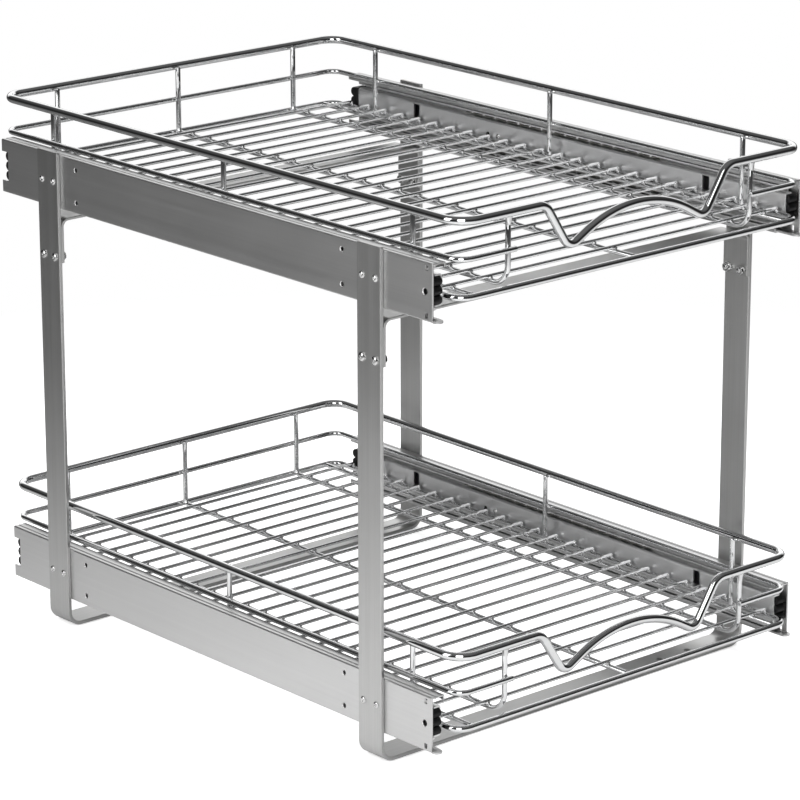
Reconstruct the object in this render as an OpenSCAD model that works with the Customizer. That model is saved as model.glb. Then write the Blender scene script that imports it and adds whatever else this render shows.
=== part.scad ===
// Two-tier pull-out cabinet basket.
// Two chrome wire baskets run on full-extension ball slides, which a bolted frame
// of bent steel strap carries one above the other.
// Millimetres. X is the width, Y the depth (the baskets pull out towards -Y), Z is up.
// The origin is on the floor under the middle of the whole basket.

/* [Frame] */
// Width over the outer faces of the two slides of a tier
frame_w = 366; // [260:2:560]
// Height from the lower slides up to the upper slides
tier_pitch = 316; // [200:2:460]
// Height of the lower slides above the floor
slide_lift = 23; // [18:1:60]
// Width of the leg strap
strap_w = 25; // [20:1:34]
// Thickness of the leg strap
strap_t = 3; // [2:0.5:4]
// Outer radius of the bend that turns a leg into its floor strap
foot_bend_r = 12; // [6:1:16]
// Distance from an end of the slides to the nearer edge of a leg
leg_inset = 50.5; // [30:0.5:60]
// How far a leg stands above the upper slides
leg_overrun = 2; // [0:0.5:6]

/* [Cross bars] */
// Thickness of an upper cross bar
bar_t = 2.2; // [1.5:0.1:3]
// Gap between a cross bar and the upper slides above it
bar_gap = 7.7; // [4:0.1:14]
// Height of a cross bar's turned-down end
bar_end_h = 35; // [28:1:60]
// Outer radius of the bend at a cross bar's end
bar_bend_r = 7; // [4:0.5:10]

/* [Fasteners] */
// Distance between the two rivets or bolts of a joint
pair_pitch = 14; // [11:0.5:16]
// Diameter of a rivet's head
rivet_head_d = 5.5; // [5:0.1:7]
// Height of a rivet's head
rivet_head_h = 1.3; // [0.8:0.1:2]
// Diameter of a rivet's shank
rivet_shank_d = 3.8; // [3:0.1:4.4]
// Diameter of a bolt's shank
bolt_d = 4; // [3:0.5:5]
// Diameter of a bolt's head
bolt_head_d = 6.6; // [6:0.1:8]
// Height of a bolt's head
bolt_head_h = 1.8; // [1.2:0.1:3]
// Width of a nut across its flats
nut_af = 7; // [6.5:0.5:8]
// Height of a nut
nut_h = 3.2; // [2.4:0.1:4]
// Height of the bolts above the lower edge of a cross bar's end
bolt_up = 4.4; // [4.2:0.1:8]
// Diameter of the screw holes in the floor straps
screw_hole_d = 5; // [3.5:0.1:6]
// Distance between the outer screw holes of a floor strap
screw_span = 276; // [200:2:300]
// Distance from an outer screw hole to its neighbour
screw_step = 30; // [20:1:40]

/* [Slides] */
// Length of the slides
slide_len = 500; // [360:5:620]
// Height of the outer member
slide_h = 42; // [38:1:54]
// Thickness of a closed slide
slide_t = 12.5; // [12:0.1:16]
// How far a basket pulls out
travel = 480; // [300:5:480]
// Steel thickness of the outer member
outer_t = 1.5; // [1.2:0.1:1.8]
// Steel thickness of the middle member
middle_t = 1.2; // [1:0.1:1.4]
// Steel thickness of the inner member
inner_t = 1.5; // [1.2:0.1:1.8]
// Diameter of the outer balls
outer_ball_d = 3.5; // [3:0.1:4]
// Diameter of the inner balls
inner_ball_d = 3; // [2.5:0.1:3.5]
// Distance from one ball to the next
ball_pitch = 13.5; // [8:0.5:20]
// Distance from an end of the slides to a hold-down window
window_inset = 86; // [70:1:110]

/* [Basket wires] */
// Depth of a basket over its top rim
basket_d = 536; // [400:2:656]
// How far a closed basket stands out in front of the slides
front_overhang = 16; // [14:1:24]
// Diameter of the top rim wire
rim_d = 6.4; // [5:0.1:8]
// Diameter of the middle rim wire
mid_d = 4.2; // [3:0.1:5]
// Diameter of the bottom ring wire
ring_d = 5; // [4:0.1:6]
// Diameter of the long wires and the uprights
long_d = 4; // [3:0.1:5]
// Diameter of the cross wires of the basket floor
cross_d = 2.8; // [2:0.1:3.2]
// Height of the top rim's centre above the bottom of the slides
rim_z = 70.5; // [66:0.5:110]
// Height of the middle rim's centre above the bottom of the slides
mid_z = 43.5; // [36:0.5:50]
// Height of the bottom ring's centre above the bottom of the slides
ring_z = 16.4; // [14:0.1:18]
// Corner radius of the top rim
rim_r = 16; // [8:1:30]
// Corner radius of the middle rim and of the bottom ring
ring_r = 11; // [6:1:20]
// Distance from one cross wire to the next
cross_pitch = 21; // [14:0.5:30]
// Distance from the middle of the basket to an outer upright of its front
upright_x = 120; // [96:1:128]
// Distance from the middle of the basket to a side long wire
side_wire_x = 155; // [138:1:156]
// Bend radius of the uprights at the front
upright_bend_r = 14.5; // [8:0.5:20]
// Bend radius of the uprights at the rear
rear_bend_r = 4.5; // [3:0.5:20]
// Height of the side uprights' ends above the middle of the rim
side_upright_rise = 0.6; // [0:0.2:3]
// Distance from an end of the slides to the side uprights near it
side_upright_inset = 42; // [30:1:60]

/* [Handle] */
// Distance between the two dips beside the grip
handle_span = 128; // [90:2:150]
// Depth of the dips below the rim
handle_dip = 32.2; // [22:0.2:40]
// Height of the grip above the dips
handle_crown = 19.2; // [12:0.2:21]
// Slope of the grip's flanks in degrees
crown_slope = 29; // [25:1:34]
// Slope of the outer flanks in degrees
dip_slope = 57; // [45:1:65]
// Bend radius of the dips
dip_r = 9; // [6:0.5:12]
// Bend radius of the shoulders
shoulder_r = 12; // [8:0.5:14]

/* [Hidden] */

// Clearances
eps = 0.1;              // how far a cut runs past the face it opens
weld_gap = 0.02;        // between two wires that are welded together
bend_swell = 0.02;      // by which the bends of the top rim are thicker than its straight runs
fit_gap = 0.1;          // between a piece and the socket or edge that holds it
ball_gap = 0.05;        // between a ball and a race
hole_gap = 0.2;         // added to a shank's or a ball's diameter for its hole
run_gap = 0.4;          // between faces of the slides that pass each other

// Heights
lower_z = slide_lift;                     // bottom of the lower slides
upper_z = slide_lift + tier_pitch;        // bottom of the upper slides
mid_h = slide_h / 2;                      // middle of a slide above its bottom
bar_top_z = upper_z - bar_gap;
bar_low_z = bar_top_z - bar_end_h;
bolt_z = bar_low_z + bolt_up;
leg_top_z = upper_z + slide_h + leg_overrun;

// Places along the depth
front_y = -basket_d / 2;                  // foremost point of the baskets
slide_y0 = front_y + front_overhang;      // front end of the slides
slide_y1 = slide_y0 + slide_len;          // rear end of the slides
front_leg_y = slide_y0 + leg_inset;       // front edge of the front legs
rear_leg_y = slide_y1 - leg_inset - strap_w;
leg_ys = [front_leg_y, rear_leg_y];

// Slide sections: s runs inwards from the outer face, h up and down from the middle
outer_lip = 3.8;                          // height of a lip of the outer member
outer_race_h = mid_h - outer_t;           // inner face of the outer flanges
middle_half = outer_race_h - outer_ball_d - 2 * ball_gap;
inner_race_h = middle_half - middle_t;
inner_half = inner_race_h - inner_ball_d - 2 * ball_gap;
outer_ball_h = outer_race_h - ball_gap - outer_ball_d / 2;
inner_ball_h = inner_race_h - ball_gap - inner_ball_d / 2;
cage_t = 0.5;
outer_cage_s = outer_t + run_gap;
middle_s = outer_cage_s + cage_t + 2 * run_gap;
inner_cage_s = middle_s + middle_t + run_gap;
inner_flange_s = inner_cage_s + cage_t + 2 * run_gap;
inner_face_s = slide_t - fit_gap;         // inner face of the inner member
inner_web_s = inner_face_s - inner_t;     // outer face of the inner member's web
middle_end_s = slide_t - 1;               // edge of the middle flanges
cage_end_s = slide_t - 2.4;               // edge of the cage flanges
outer_ball_s = (middle_s + middle_t + cage_end_s) / 2;
inner_ball_s = (inner_flange_s + cage_end_s) / 2;

// Slide lengths
stop_t = 5;                               // thickness of a bumper behind its lobes
rear_stop_t = 6.6;                        // the same for a rear bumper
stop_lobe = 2.8;                          // how far a bumper's lobes stand out
inner_inset = 4;                          // from the slides' front ends to the inner member
stop_inset = 7;                           // from the slides' rear ends to the rear bumpers
inner_y0 = slide_y0 + inner_inset;        // front end of the inner member
rear_stop_y = slide_y1 - stop_inset - stop_t;
inner_y1 = rear_stop_y - run_gap;
middle_y0 = inner_y0 + stop_t + run_gap;
middle_y1 = rear_stop_y - run_gap;
cage_end_gap = 22.5;                      // left behind a cage when the slide is pulled out
cage_len = slide_len - travel / 2 - 2 * cage_end_gap;
cage_y0 = slide_y0 + (slide_len - cage_len) / 2;
ball_count = floor((cage_len - 2 * outer_ball_d) / ball_pitch) + 1;
first_ball_y = cage_y0 + (cage_len - (ball_count - 1) * ball_pitch) / 2;

// Basket section across the width: every upright stands on the same inner plane
inner_face_x = frame_w / 2 - inner_face_s;
ring_x = inner_face_x - weld_gap - ring_d / 2;
upright_plane_x = ring_x - ring_d / 2 - weld_gap;
side_upright_x = upright_plane_x - long_d / 2;
rim_x = upright_plane_x + weld_gap + rim_d / 2;
mid_x = upright_plane_x + weld_gap + mid_d / 2;

// Basket section along the depth
rim_y = basket_d / 2 - rim_d / 2;
upright_plane_y = rim_y - rim_d / 2 - weld_gap;
upright_y = upright_plane_y - long_d / 2;
mid_y = upright_plane_y + weld_gap + mid_d / 2;
ring_y = upright_plane_y + weld_gap + ring_d / 2;

// Basket floor
floor_z = ring_z + ring_d / 2;            // where the cross wires lie
long_z = floor_z - long_d / 2;
cross_z = floor_z + weld_gap + cross_d / 2;
cross_end_margin = 20;                    // least room past the outer cross wires
cross_count = floor(2 * (ring_y - cross_end_margin) / cross_pitch) + 1;
first_cross_y = -(cross_count - 1) * cross_pitch / 2;
// Place of a piece of the given width that stands between two cross wires, near the wanted place
function between_cross_wires(wanted, width) =
  let (bay = floor((wanted - first_cross_y) / cross_pitch))
  let (low = first_cross_y + bay * cross_pitch + (cross_d + width) / 2 + run_gap)
  let (high = low + cross_pitch - cross_d - width - 2 * run_gap)
  max(low, min(high, wanted));
side_upright_ys = [
  between_cross_wires(slide_y0 + side_upright_inset, long_d),
  between_cross_wires((slide_y0 + slide_y1) / 2, long_d),
  between_cross_wires(slide_y1 - side_upright_inset, long_d)
];

// Hold-down windows of the inner members
window_w = 7;
window_h = 12;
tongue_t = 1.2;
tongue_over = 3;                          // how far a tongue reaches past its wire
tongue_z = floor_z + weld_gap;
tongue_end_s = inner_face_s + weld_gap + ring_d + tongue_over;

// Round work
wire_fn = 24;
round_fn = 48;

// Colours
strap_col = [0.72, 0.72, 0.71];
rail_col = [0.62, 0.62, 0.61];
member_col = [0.68, 0.68, 0.68];
wire_col = [0.86, 0.87, 0.88];
hardware_col = [0.8, 0.8, 0.8];
cage_col = [0.76, 0.74, 0.68];
rubber_col = [0.05, 0.05, 0.05];

// ---------------------------------------------------------------- helpers

function unit(v) = v / norm(v);

// Straight wire between two points, running along X, Y, Z or in a plane
module wire_run(a, b, d) {
  along = b - a;
  reach = norm(along);
  if (reach > weld_gap)
    translate(a)
      rotate([0, acos(along.z / reach), atan2(along.y, along.x)])
        cylinder(h = reach, d = d, $fn = wire_fn);
}

// Angle by which a wire turns at b on its way from a to c
function turn_at(a, b, c) = acos(max(-1, min(1, unit(b - a) * unit(c - b))));

// Length that a bend of radius r takes up on each side of its corner
function bend_reach(a, b, c, r) = r * tan(turn_at(a, b, c) / 2);

// Bent stretch of wire that rounds the corner b between a and c
module wire_bend(a, b, c, r, d) {
  turn = turn_at(a, b, c);
  travel_dir = unit(b - a);
  start = b - travel_dir * bend_reach(a, b, c, r);
  side = unit(cross(cross(travel_dir, unit(c - b)), travel_dir));
  centre = start + side * r;
  ex = -side;
  ez = unit(cross(ex, travel_dir));
  multmatrix([
    [ex.x, travel_dir.x, ez.x, centre.x],
    [ex.y, travel_dir.y, ez.y, centre.y],
    [ex.z, travel_dir.z, ez.z, centre.z],
    [0, 0, 0, 1]
  ])
    rotate_extrude(angle = turn, $fn = round_fn)
      translate([r, 0])
        circle(d = d, $fn = wire_fn);
}

// One wire bent along a path; bends holds the radius at each inner corner
module open_wire(path, bends, d) {
  last = len(path) - 1;
  function reach(i) = i <= 0 || i >= last ? 0 : bend_reach(path[i - 1], path[i], path[i + 1], bends[i - 1]);
  for (i = [1 : last]) {
    way = unit(path[i] - path[i - 1]);
    wire_run(path[i - 1] + way * reach(i - 1), path[i] - way * reach(i), d);
  }
  for (i = [1 : last - 1])
    wire_bend(path[i - 1], path[i], path[i + 1], bends[i - 1], d);
}

// One wire bent into a closed loop; bends holds the radius at each corner. The bends may be
// a hair thicker by swell, and then the straight runs reach as far into them.
module closed_wire(path, bends, d, swell = 0) {
  count = len(path);
  function at(i) = path[(i + count) % count];
  function reach(i) = bend_reach(at(i - 1), at(i), at(i + 1), bends[(i + count) % count]) - swell;
  for (i = [0 : count - 1]) {
    way = unit(at(i + 1) - at(i));
    wire_run(at(i) + way * reach(i), at(i + 1) - way * reach(i + 1), d);
    wire_bend(at(i - 1), at(i), at(i + 1), bends[i], d + swell);
  }
}

// Flat outline of a box with rounded corners, from corner a to corner b
module rounded_outline(a, b, r) {
  size = b - a;
  translate([a.x + r, a.y])
    square([size.x - 2 * r, size.y]);
  translate([a.x, a.y + r])
    square([size.x, size.y - 2 * r]);
  for (x = [a.x + r, b.x - r], y = [a.y + r, b.y - r])
    translate([x, y])
      circle(r = r, $fn = round_fn);
}

// Extrudes an outline drawn in X and Z along the depth
module along_depth(y0, y1) {
  translate([0, y1, 0])
    rotate([90, 0, 0])
      linear_extrude(y1 - y0)
        children();
}

// Puts a piece drawn with its outer face at s = 0 on the left or right of the frame
module on_side(side) {
  if (side == "left")
    translate([-frame_w / 2, 0, 0])
      children();
  else
    mirror([1, 0, 0])
      translate([-frame_w / 2, 0, 0])
        children();
}

// Hole or shank that runs across the width, from s0 to s1
module across(s0, s1, y, z, d, fn = round_fn) {
  translate([s0, y, z])
    rotate([0, 90, 0])
      cylinder(h = s1 - s0, d = d, $fn = fn);
}

// ---------------------------------------------------------------- frame

// Flat outline of a strap bent into a U: wide over its faces, tall, open at the top
module u_outline(wide, tall, t, r) {
  difference() {
    rounded_outline([-wide / 2, 0], [wide / 2, tall + r], r);
    rounded_outline([-wide / 2 + t, t], [wide / 2 - t, tall + 2 * r], r - t);
    translate([-wide / 2 - eps, tall])
      square([wide + 2 * eps, 3 * r]);
  }
}

// The two places across a leg where its rivets or bolts sit
function pair_ys(leg_y) = [for (k = [-1, 1]) leg_y + strap_w / 2 + k * pair_pitch / 2];

// Two legs and the floor strap between them, bent from one strap
module floor_frame(leg_y) {
  leg_face = frame_w / 2 + strap_t;
  color(strap_col)
    difference() {
      along_depth(leg_y, leg_y + strap_w)
        u_outline(2 * leg_face, leg_top_z, strap_t, foot_bend_r);
      for (side = ["left", "right"])
        on_side(side)
          for (y = pair_ys(leg_y)) {
            for (base_z = [lower_z, upper_z])
              across(-strap_t - eps, eps, y, base_z + mid_h, rivet_shank_d + hole_gap);
            across(-strap_t - eps, eps, y, bolt_z, bolt_d + hole_gap);
          }
      for (k = [-1, 1], x = [screw_span / 2, screw_span / 2 - screw_step])
        translate([k * x, leg_y + strap_w / 2, -eps])
          cylinder(h = strap_t + 2 * eps, d = screw_hole_d, $fn = round_fn);
    }
}

// Strap across the frame under the upper slides, its ends turned down inside the legs
module cross_bar(leg_y) {
  color(strap_col)
    difference() {
      translate([0, 0, bar_top_z])
        mirror([0, 0, 1])
          along_depth(leg_y, leg_y + strap_w)
            u_outline(frame_w, bar_end_h, bar_t, bar_bend_r);
      for (side = ["left", "right"])
        on_side(side)
          for (y = pair_ys(leg_y))
            across(-eps, bar_t + eps, y, bolt_z, bolt_d + hole_gap);
    }
}

// Rivets that hold the slides to the legs, flush on the inside of the slides
module all_rail_rivets() {
  color(hardware_col)
    for (side = ["left", "right"], leg_y = leg_ys, base_z = [lower_z, upper_z])
      on_side(side)
        for (y = pair_ys(leg_y)) {
          across(-strap_t - rivet_head_h, -strap_t, y, base_z + mid_h, rivet_head_d);
          across(-strap_t - eps, outer_t - ball_gap, y, base_z + mid_h, rivet_shank_d);
        }
}

// Bolts through the legs and the turned-down ends of the cross bars
module all_bolts() {
  color(hardware_col)
    for (side = ["left", "right"], leg_y = leg_ys)
      on_side(side)
        for (y = pair_ys(leg_y)) {
          across(-strap_t - bolt_head_h, -strap_t, y, bolt_z, bolt_head_d);
          across(-strap_t - eps, bar_t + nut_h + 1, y, bolt_z, bolt_d);
        }
}

// Hexagon nuts on the inner face of the cross bars' ends
module all_nuts() {
  color(hardware_col)
    for (side = ["left", "right"], leg_y = leg_ys)
      on_side(side)
        for (y = pair_ys(leg_y))
          difference() {
            across(bar_t, bar_t + nut_h, y, bolt_z, nut_af / cos(30), 6);
            across(bar_t - eps, bar_t + nut_h + eps, y, bolt_z, bolt_d + hole_gap);
          }
}

// ---------------------------------------------------------------- slides

// Section of the outer member: a channel with short lips
module outer_section() {
  difference() {
    rounded_outline([0, -mid_h], [slide_t, mid_h], outer_t);
    rounded_outline([outer_t, -outer_race_h], [slide_t - outer_t, outer_race_h], outer_t / 3);
    translate([outer_t, outer_lip - mid_h])
      square([slide_t, slide_h - 2 * outer_lip]);
  }
}

// Section of the middle member: a channel open inwards
module middle_section() {
  difference() {
    rounded_outline([middle_s, -middle_half], [slide_t + middle_half, middle_half], middle_t);
    translate([middle_s + middle_t, 0])
      rounded_outline([0, -inner_race_h], [slide_t + middle_half, inner_race_h], middle_t / 3);
    translate([middle_end_s, -mid_h])
      square([3 * mid_h, slide_h]);
  }
}

// Section of the inner member: a channel open outwards
module inner_section() {
  difference() {
    rounded_outline([-mid_h, -inner_half], [inner_face_s, inner_half], inner_t);
    translate([0, inner_t])
      rounded_outline([-2 * mid_h, -inner_half], [inner_web_s, inner_half - 2 * inner_t], inner_t / 3);
    translate([inner_flange_s - 3 * mid_h, -mid_h])
      square([3 * mid_h, slide_h]);
  }
}

// Section of a ball cage: a thin channel whose flanges carry the balls
module cage_section(s, half) {
  difference() {
    translate([s, -half])
      square([cage_end_s - s, 2 * half]);
    translate([s + cage_t, cage_t - half])
      square([slide_t, 2 * (half - cage_t)]);
  }
}

hole_inset = 95;        // from an end of the slides to the pair of holes near it
hole_spread = 25.4;     // between the two holes of a pair
web_hole_d = 3.6;
end_hole_d = 4.6;
end_hole_inset = 7.5;
slot_w = 3;
slot_h = 4;
slot_mid_h = mid_h - 4; // middle of an end slot above or below the middle of the slide
tab_w = 8;
tab_len = 5;
lip_cut_len = 14;       // how far the lower lip is cut back from the front end
notch_d = 8;            // depth of the notch at the rear of the web
notch_h = 23;

// Outer member, fixed to the legs
module outer_rail(side, base_z) {
  color(rail_col)
    on_side(side)
      translate([0, 0, base_z + mid_h])
        difference() {
          union() {
            along_depth(slide_y0, slide_y1)
              outer_section();
            translate([tab_w / 2, slide_y0 + tab_w / 2 - tab_len, -mid_h])
              cylinder(h = outer_t, d = tab_w, $fn = round_fn);
            translate([outer_t, slide_y0 + tab_w / 2 - tab_len, -mid_h])
              cube([tab_w - outer_t, tab_len, outer_t]);
          }
          translate([tab_w + fit_gap, slide_y0 - eps, -mid_h - eps])
            cube([slide_t, lip_cut_len + eps, outer_lip + 2 * eps]);
          translate([-eps, slide_y1 - notch_d, -notch_h / 2])
            cube([outer_t + 2 * eps, notch_d + eps, notch_h]);
          across(-eps, outer_t + eps, slide_y0 + end_hole_inset, 0, end_hole_d);
          for (k = [-1, 1]) {
            for (y = [slide_y0 + hole_inset, slide_y1 - hole_inset])
              across(-eps, outer_t + eps, y, k * hole_spread / 2, web_hole_d);
            translate([-eps, slide_y0 + end_hole_inset - slot_w, k * slot_mid_h - slot_h / 2])
              cube([outer_t + 2 * eps, slot_w, slot_h]);
          }
          for (leg_y = leg_ys, y = pair_ys(leg_y))
            across(-eps, outer_t + eps, y, 0, rivet_shank_d + hole_gap);
        }
}

// Middle member, half way between the frame and the basket when pulled out
module middle_member(side, base_z) {
  color(member_col)
    on_side(side)
      translate([0, 0, base_z + mid_h])
        along_depth(middle_y0, middle_y1)
          middle_section();
}

tongue_ys = [
  between_cross_wires(slide_y0 + window_inset, window_w),
  between_cross_wires(slide_y1 - window_inset, window_w)
];
rivet_share = 0.634;            // of the slides' length, from their front ends to the rivet
rivet_eye_step = 12;            // from the rivet to the hole beside it
rivet_y = slide_y0 + rivet_share * slide_len;
rivet_eye_y = rivet_y + rivet_eye_step;
member_rivet_d = 4;

// Inner member, fixed to the basket; tongues bent out of its windows hold the ring
module inner_member(side, base_z) {
  color(member_col)
    on_side(side)
      translate([0, 0, base_z])
        difference() {
          union() {
            difference() {
              translate([0, 0, mid_h])
                along_depth(inner_y0, inner_y1)
                  inner_section();
              for (y = tongue_ys)
                translate([inner_web_s - eps, y - window_w / 2, tongue_z])
                  cube([inner_t + 2 * eps, window_w, window_h]);
            }
            for (y = tongue_ys) {
              translate([inner_web_s, y - window_w / 2, tongue_z])
                cube([tongue_end_s - window_w / 2 - inner_web_s, window_w, tongue_t]);
              translate([tongue_end_s - window_w / 2, y, tongue_z])
                cylinder(h = tongue_t, d = window_w, $fn = round_fn);
            }
          }
          across(inner_web_s - eps, inner_face_s + eps, rivet_y, mid_h, member_rivet_d / 2 + hole_gap);
          across(inner_web_s - eps, inner_face_s + eps, rivet_eye_y, mid_h, member_rivet_d);
        }
}

// Rivets of the two inner members of a tier
module member_rivets(base_z) {
  color(hardware_col)
    for (side = ["left", "right"])
      on_side(side)
        translate([0, 0, base_z + mid_h]) {
          across(inner_face_s, inner_face_s + 1, rivet_y, 0, member_rivet_d);
          across(inner_web_s, inner_face_s + eps, rivet_y, 0, member_rivet_d / 2);
        }
}

// Two cages of a tier, one in each slide
module cages(base_z, s, half, ball_s, ball_d) {
  color(cage_col)
    for (side = ["left", "right"])
      on_side(side)
        translate([0, 0, base_z + mid_h])
          difference() {
            along_depth(cage_y0, cage_y0 + cage_len)
              cage_section(s, half);
            for (k = [0 : ball_count - 1])
              translate([ball_s, first_ball_y + k * ball_pitch, -mid_h])
                cylinder(h = slide_h, d = ball_d + hole_gap, $fn = wire_fn);
          }
}

module outer_cages(base_z) {
  cages(base_z, outer_cage_s, outer_ball_h + cage_t / 2, outer_ball_s, outer_ball_d);
}

module inner_cages(base_z) {
  cages(base_z, inner_cage_s, inner_ball_h + cage_t / 2, inner_ball_s, inner_ball_d);
}

// Balls of a tier, a row above and a row below in each slide
module balls(base_z, ball_s, ball_h, ball_d) {
  color(hardware_col)
    for (side = ["left", "right"])
      on_side(side)
        for (k = [0 : ball_count - 1], up = [-1, 1])
          translate([ball_s, first_ball_y + k * ball_pitch, base_z + mid_h + up * ball_h])
            sphere(d = ball_d, $fn = wire_fn);
}

module outer_balls(base_z) {
  balls(base_z, outer_ball_s, outer_ball_h, outer_ball_d);
}

module inner_balls(base_z) {
  balls(base_z, inner_ball_s, inner_ball_h, inner_ball_d);
}

// ---------------------------------------------------------------- bumpers

// Three round lobes side by side, axis across the width
module lobes(s0, s1, y, half) {
  for (k = [-1, 0, 1])
    across(s0, s1, y, k * half * 2 / 3, half * 2 / 3);
}

front_bumper_half = inner_half - inner_t - fit_gap;
front_plug_len = 14;

// Bumpers plugged into the front ends of the two inner members
module front_bumpers(base_z) {
  plug_s0 = inner_flange_s + fit_gap;
  plug_s1 = inner_web_s - fit_gap;
  face_s = outer_t + run_gap;
  color(rubber_col)
    for (side = ["left", "right"])
      on_side(side)
        translate([0, 0, base_z + mid_h]) {
          translate([face_s, inner_y0, -front_bumper_half])
            cube([plug_s1 - face_s, stop_t, 2 * front_bumper_half]);
          lobes(face_s, plug_s1, inner_y0 - stop_lobe + front_bumper_half / 3, front_bumper_half);
          translate([plug_s0, inner_y0, -front_bumper_half])
            cube([plug_s1 - plug_s0, front_plug_len, 2 * front_bumper_half]);
        }
}

// Bumpers at the rear ends of the two outer members, showing in the notches
module rear_bumpers(base_z) {
  half = notch_h / 2 - fit_gap;
  s0 = outer_t + fit_gap;
  s1 = slide_t - fit_gap;
  color(rubber_col)
    for (side = ["left", "right"])
      on_side(side)
        translate([0, 0, base_z + mid_h]) {
          translate([s0, rear_stop_y, -half])
            cube([s1 - s0, rear_stop_t, 2 * half]);
          lobes(s0, s1, rear_stop_y + rear_stop_t + stop_lobe - half / 3, half);
        }
}

// ---------------------------------------------------------------- baskets

// Outline of the handle in the front plane, seen from the rim's centre line
crown_round = (handle_span / 2 * sin(crown_slope) - handle_crown * cos(crown_slope)) / (1 - cos(crown_slope));
crown_r = crown_round - dip_r;

// Corner points of the rim's front, from left to right, before they are rounded
function handle_corners() =
  let (dip_z = rim_z - handle_dip)
  // lines of the flanks meet below the dip and above the grip
  let (corner_turn = (dip_slope + crown_slope) / 2)
  let (lean = (dip_slope - crown_slope) / 2)
  let (corner_dist = dip_r / cos(corner_turn))
  let (dip_x = handle_span / 2 + corner_dist * sin(lean))
  let (dip_corner_z = dip_z + dip_r - corner_dist * cos(lean))
  let (top_z = dip_corner_z + dip_x * tan(crown_slope))
  let (shoulder_x = dip_x + (rim_z - dip_corner_z) / tan(dip_slope))
  [
    [-shoulder_x, rim_z],
    [-dip_x, dip_corner_z],
    [0, top_z],
    [dip_x, dip_corner_z],
    [shoulder_x, rim_z]
  ];

// Top rim, whose front dips into the handle
module top_rim(base_z) {
  front = [for (p = handle_corners()) [p.x, -rim_y, base_z + p.y]];
  path = concat(
    [[-rim_x, rim_y, base_z + rim_z], [-rim_x, -rim_y, base_z + rim_z]],
    front,
    [[rim_x, -rim_y, base_z + rim_z], [rim_x, rim_y, base_z + rim_z]]
  );
  bends = [rim_r, rim_r, shoulder_r, dip_r, crown_r, dip_r, shoulder_r, rim_r, rim_r];
  color(wire_col)
    closed_wire(path, bends, rim_d, bend_swell);
}

// Middle rim, open across the front between the two uprights
module middle_rim(base_z) {
  z = base_z + mid_z;
  end_x = upright_x - long_d;
  path = [
    [-end_x, -mid_y, z], [-mid_x, -mid_y, z], [-mid_x, mid_y, z],
    [mid_x, mid_y, z], [mid_x, -mid_y, z], [end_x, -mid_y, z]
  ];
  color(wire_col)
    open_wire(path, [ring_r, ring_r, ring_r, ring_r], mid_d);
}

// Bottom ring, which lies along the slides
module bottom_ring(base_z) {
  z = base_z + ring_z;
  path = [[-ring_x, -ring_y, z], [ring_x, -ring_y, z], [ring_x, ring_y, z], [-ring_x, ring_y, z]];
  color(wire_col)
    closed_wire(path, [ring_r, ring_r, ring_r, ring_r], ring_d);
}

// Cross wires of the basket floor, laid over the ring and the long wires
module cross_wires(base_z) {
  color(wire_col)
    for (k = [0 : cross_count - 1])
      wire_run(
        [-ring_x, first_cross_y + k * cross_pitch, base_z + cross_z],
        [ring_x, first_cross_y + k * cross_pitch, base_z + cross_z],
        cross_d
      );
}

// Outer long wire, bent up at the front and at the rear as an upright
module outer_long_wire(base_z, x) {
  color(wire_col)
    open_wire(
      [
        [x, -upright_y, base_z + rim_z], [x, -upright_y, base_z + long_z],
        [x, upright_y, base_z + long_z], [x, upright_y, base_z + rim_z]
      ],
      [upright_bend_r, rear_bend_r],
      long_d
    );
}

// Centre long wire, which ends at the front of the ring and is bent up at the rear
module centre_long_wire(base_z) {
  front_end = -ring_y + ring_d / 2 + weld_gap;
  color(wire_col)
    open_wire(
      [[0, front_end, base_z + long_z], [0, upright_y, base_z + long_z], [0, upright_y, base_z + rim_z]],
      [rear_bend_r],
      long_d
    );
}

// Straight long wires beside the ring
module side_long_wires(base_z) {
  end_y = ring_y - ring_d / 2 - weld_gap;
  color(wire_col)
    for (x = [-side_wire_x, side_wire_x])
      wire_run([x, -end_y, base_z + long_z], [x, end_y, base_z + long_z], long_d);
}

// Uprights of one side, from the ring to the rim
module side_uprights(base_z, x) {
  color(wire_col)
    for (y = side_upright_ys)
      wire_run([x, y, base_z + ring_z], [x, y, base_z + rim_z + side_upright_rise], long_d);
}

// ---------------------------------------------------------------- nodes

floor_frame(front_leg_y);  // front_floor_frame
floor_frame(rear_leg_y);  // rear_floor_frame
cross_bar(front_leg_y);  // upper_front_cross_bar
cross_bar(rear_leg_y);  // upper_rear_cross_bar
outer_rail("left", upper_z);  // upper_left_outer_rail
outer_rail("right", upper_z);  // upper_right_outer_rail
outer_rail("left", lower_z);  // lower_left_outer_rail
outer_rail("right", lower_z);  // lower_right_outer_rail
all_rail_rivets();  // rail_rivets
all_bolts();  // cross_bar_bolts
all_nuts();  // cross_bar_nuts
rear_bumpers(upper_z);  // upper_rear_bumpers
rear_bumpers(lower_z);  // lower_rear_bumpers

top_rim(upper_z);  // upper_top_rim
middle_rim(upper_z);  // upper_middle_rim
bottom_ring(upper_z);  // upper_bottom_ring
cross_wires(upper_z);  // upper_cross_wires
outer_long_wire(upper_z, -upright_x);  // upper_left_long_wire
centre_long_wire(upper_z);  // upper_centre_long_wire
outer_long_wire(upper_z, upright_x);  // upper_right_long_wire
side_long_wires(upper_z);  // upper_side_long_wires
side_uprights(upper_z, -side_upright_x);  // upper_left_uprights
side_uprights(upper_z, side_upright_x);  // upper_right_uprights
inner_member("left", upper_z);  // upper_left_inner_member
inner_member("right", upper_z);  // upper_right_inner_member
member_rivets(upper_z);  // upper_member_rivets
front_bumpers(upper_z);  // upper_front_bumpers

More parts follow.
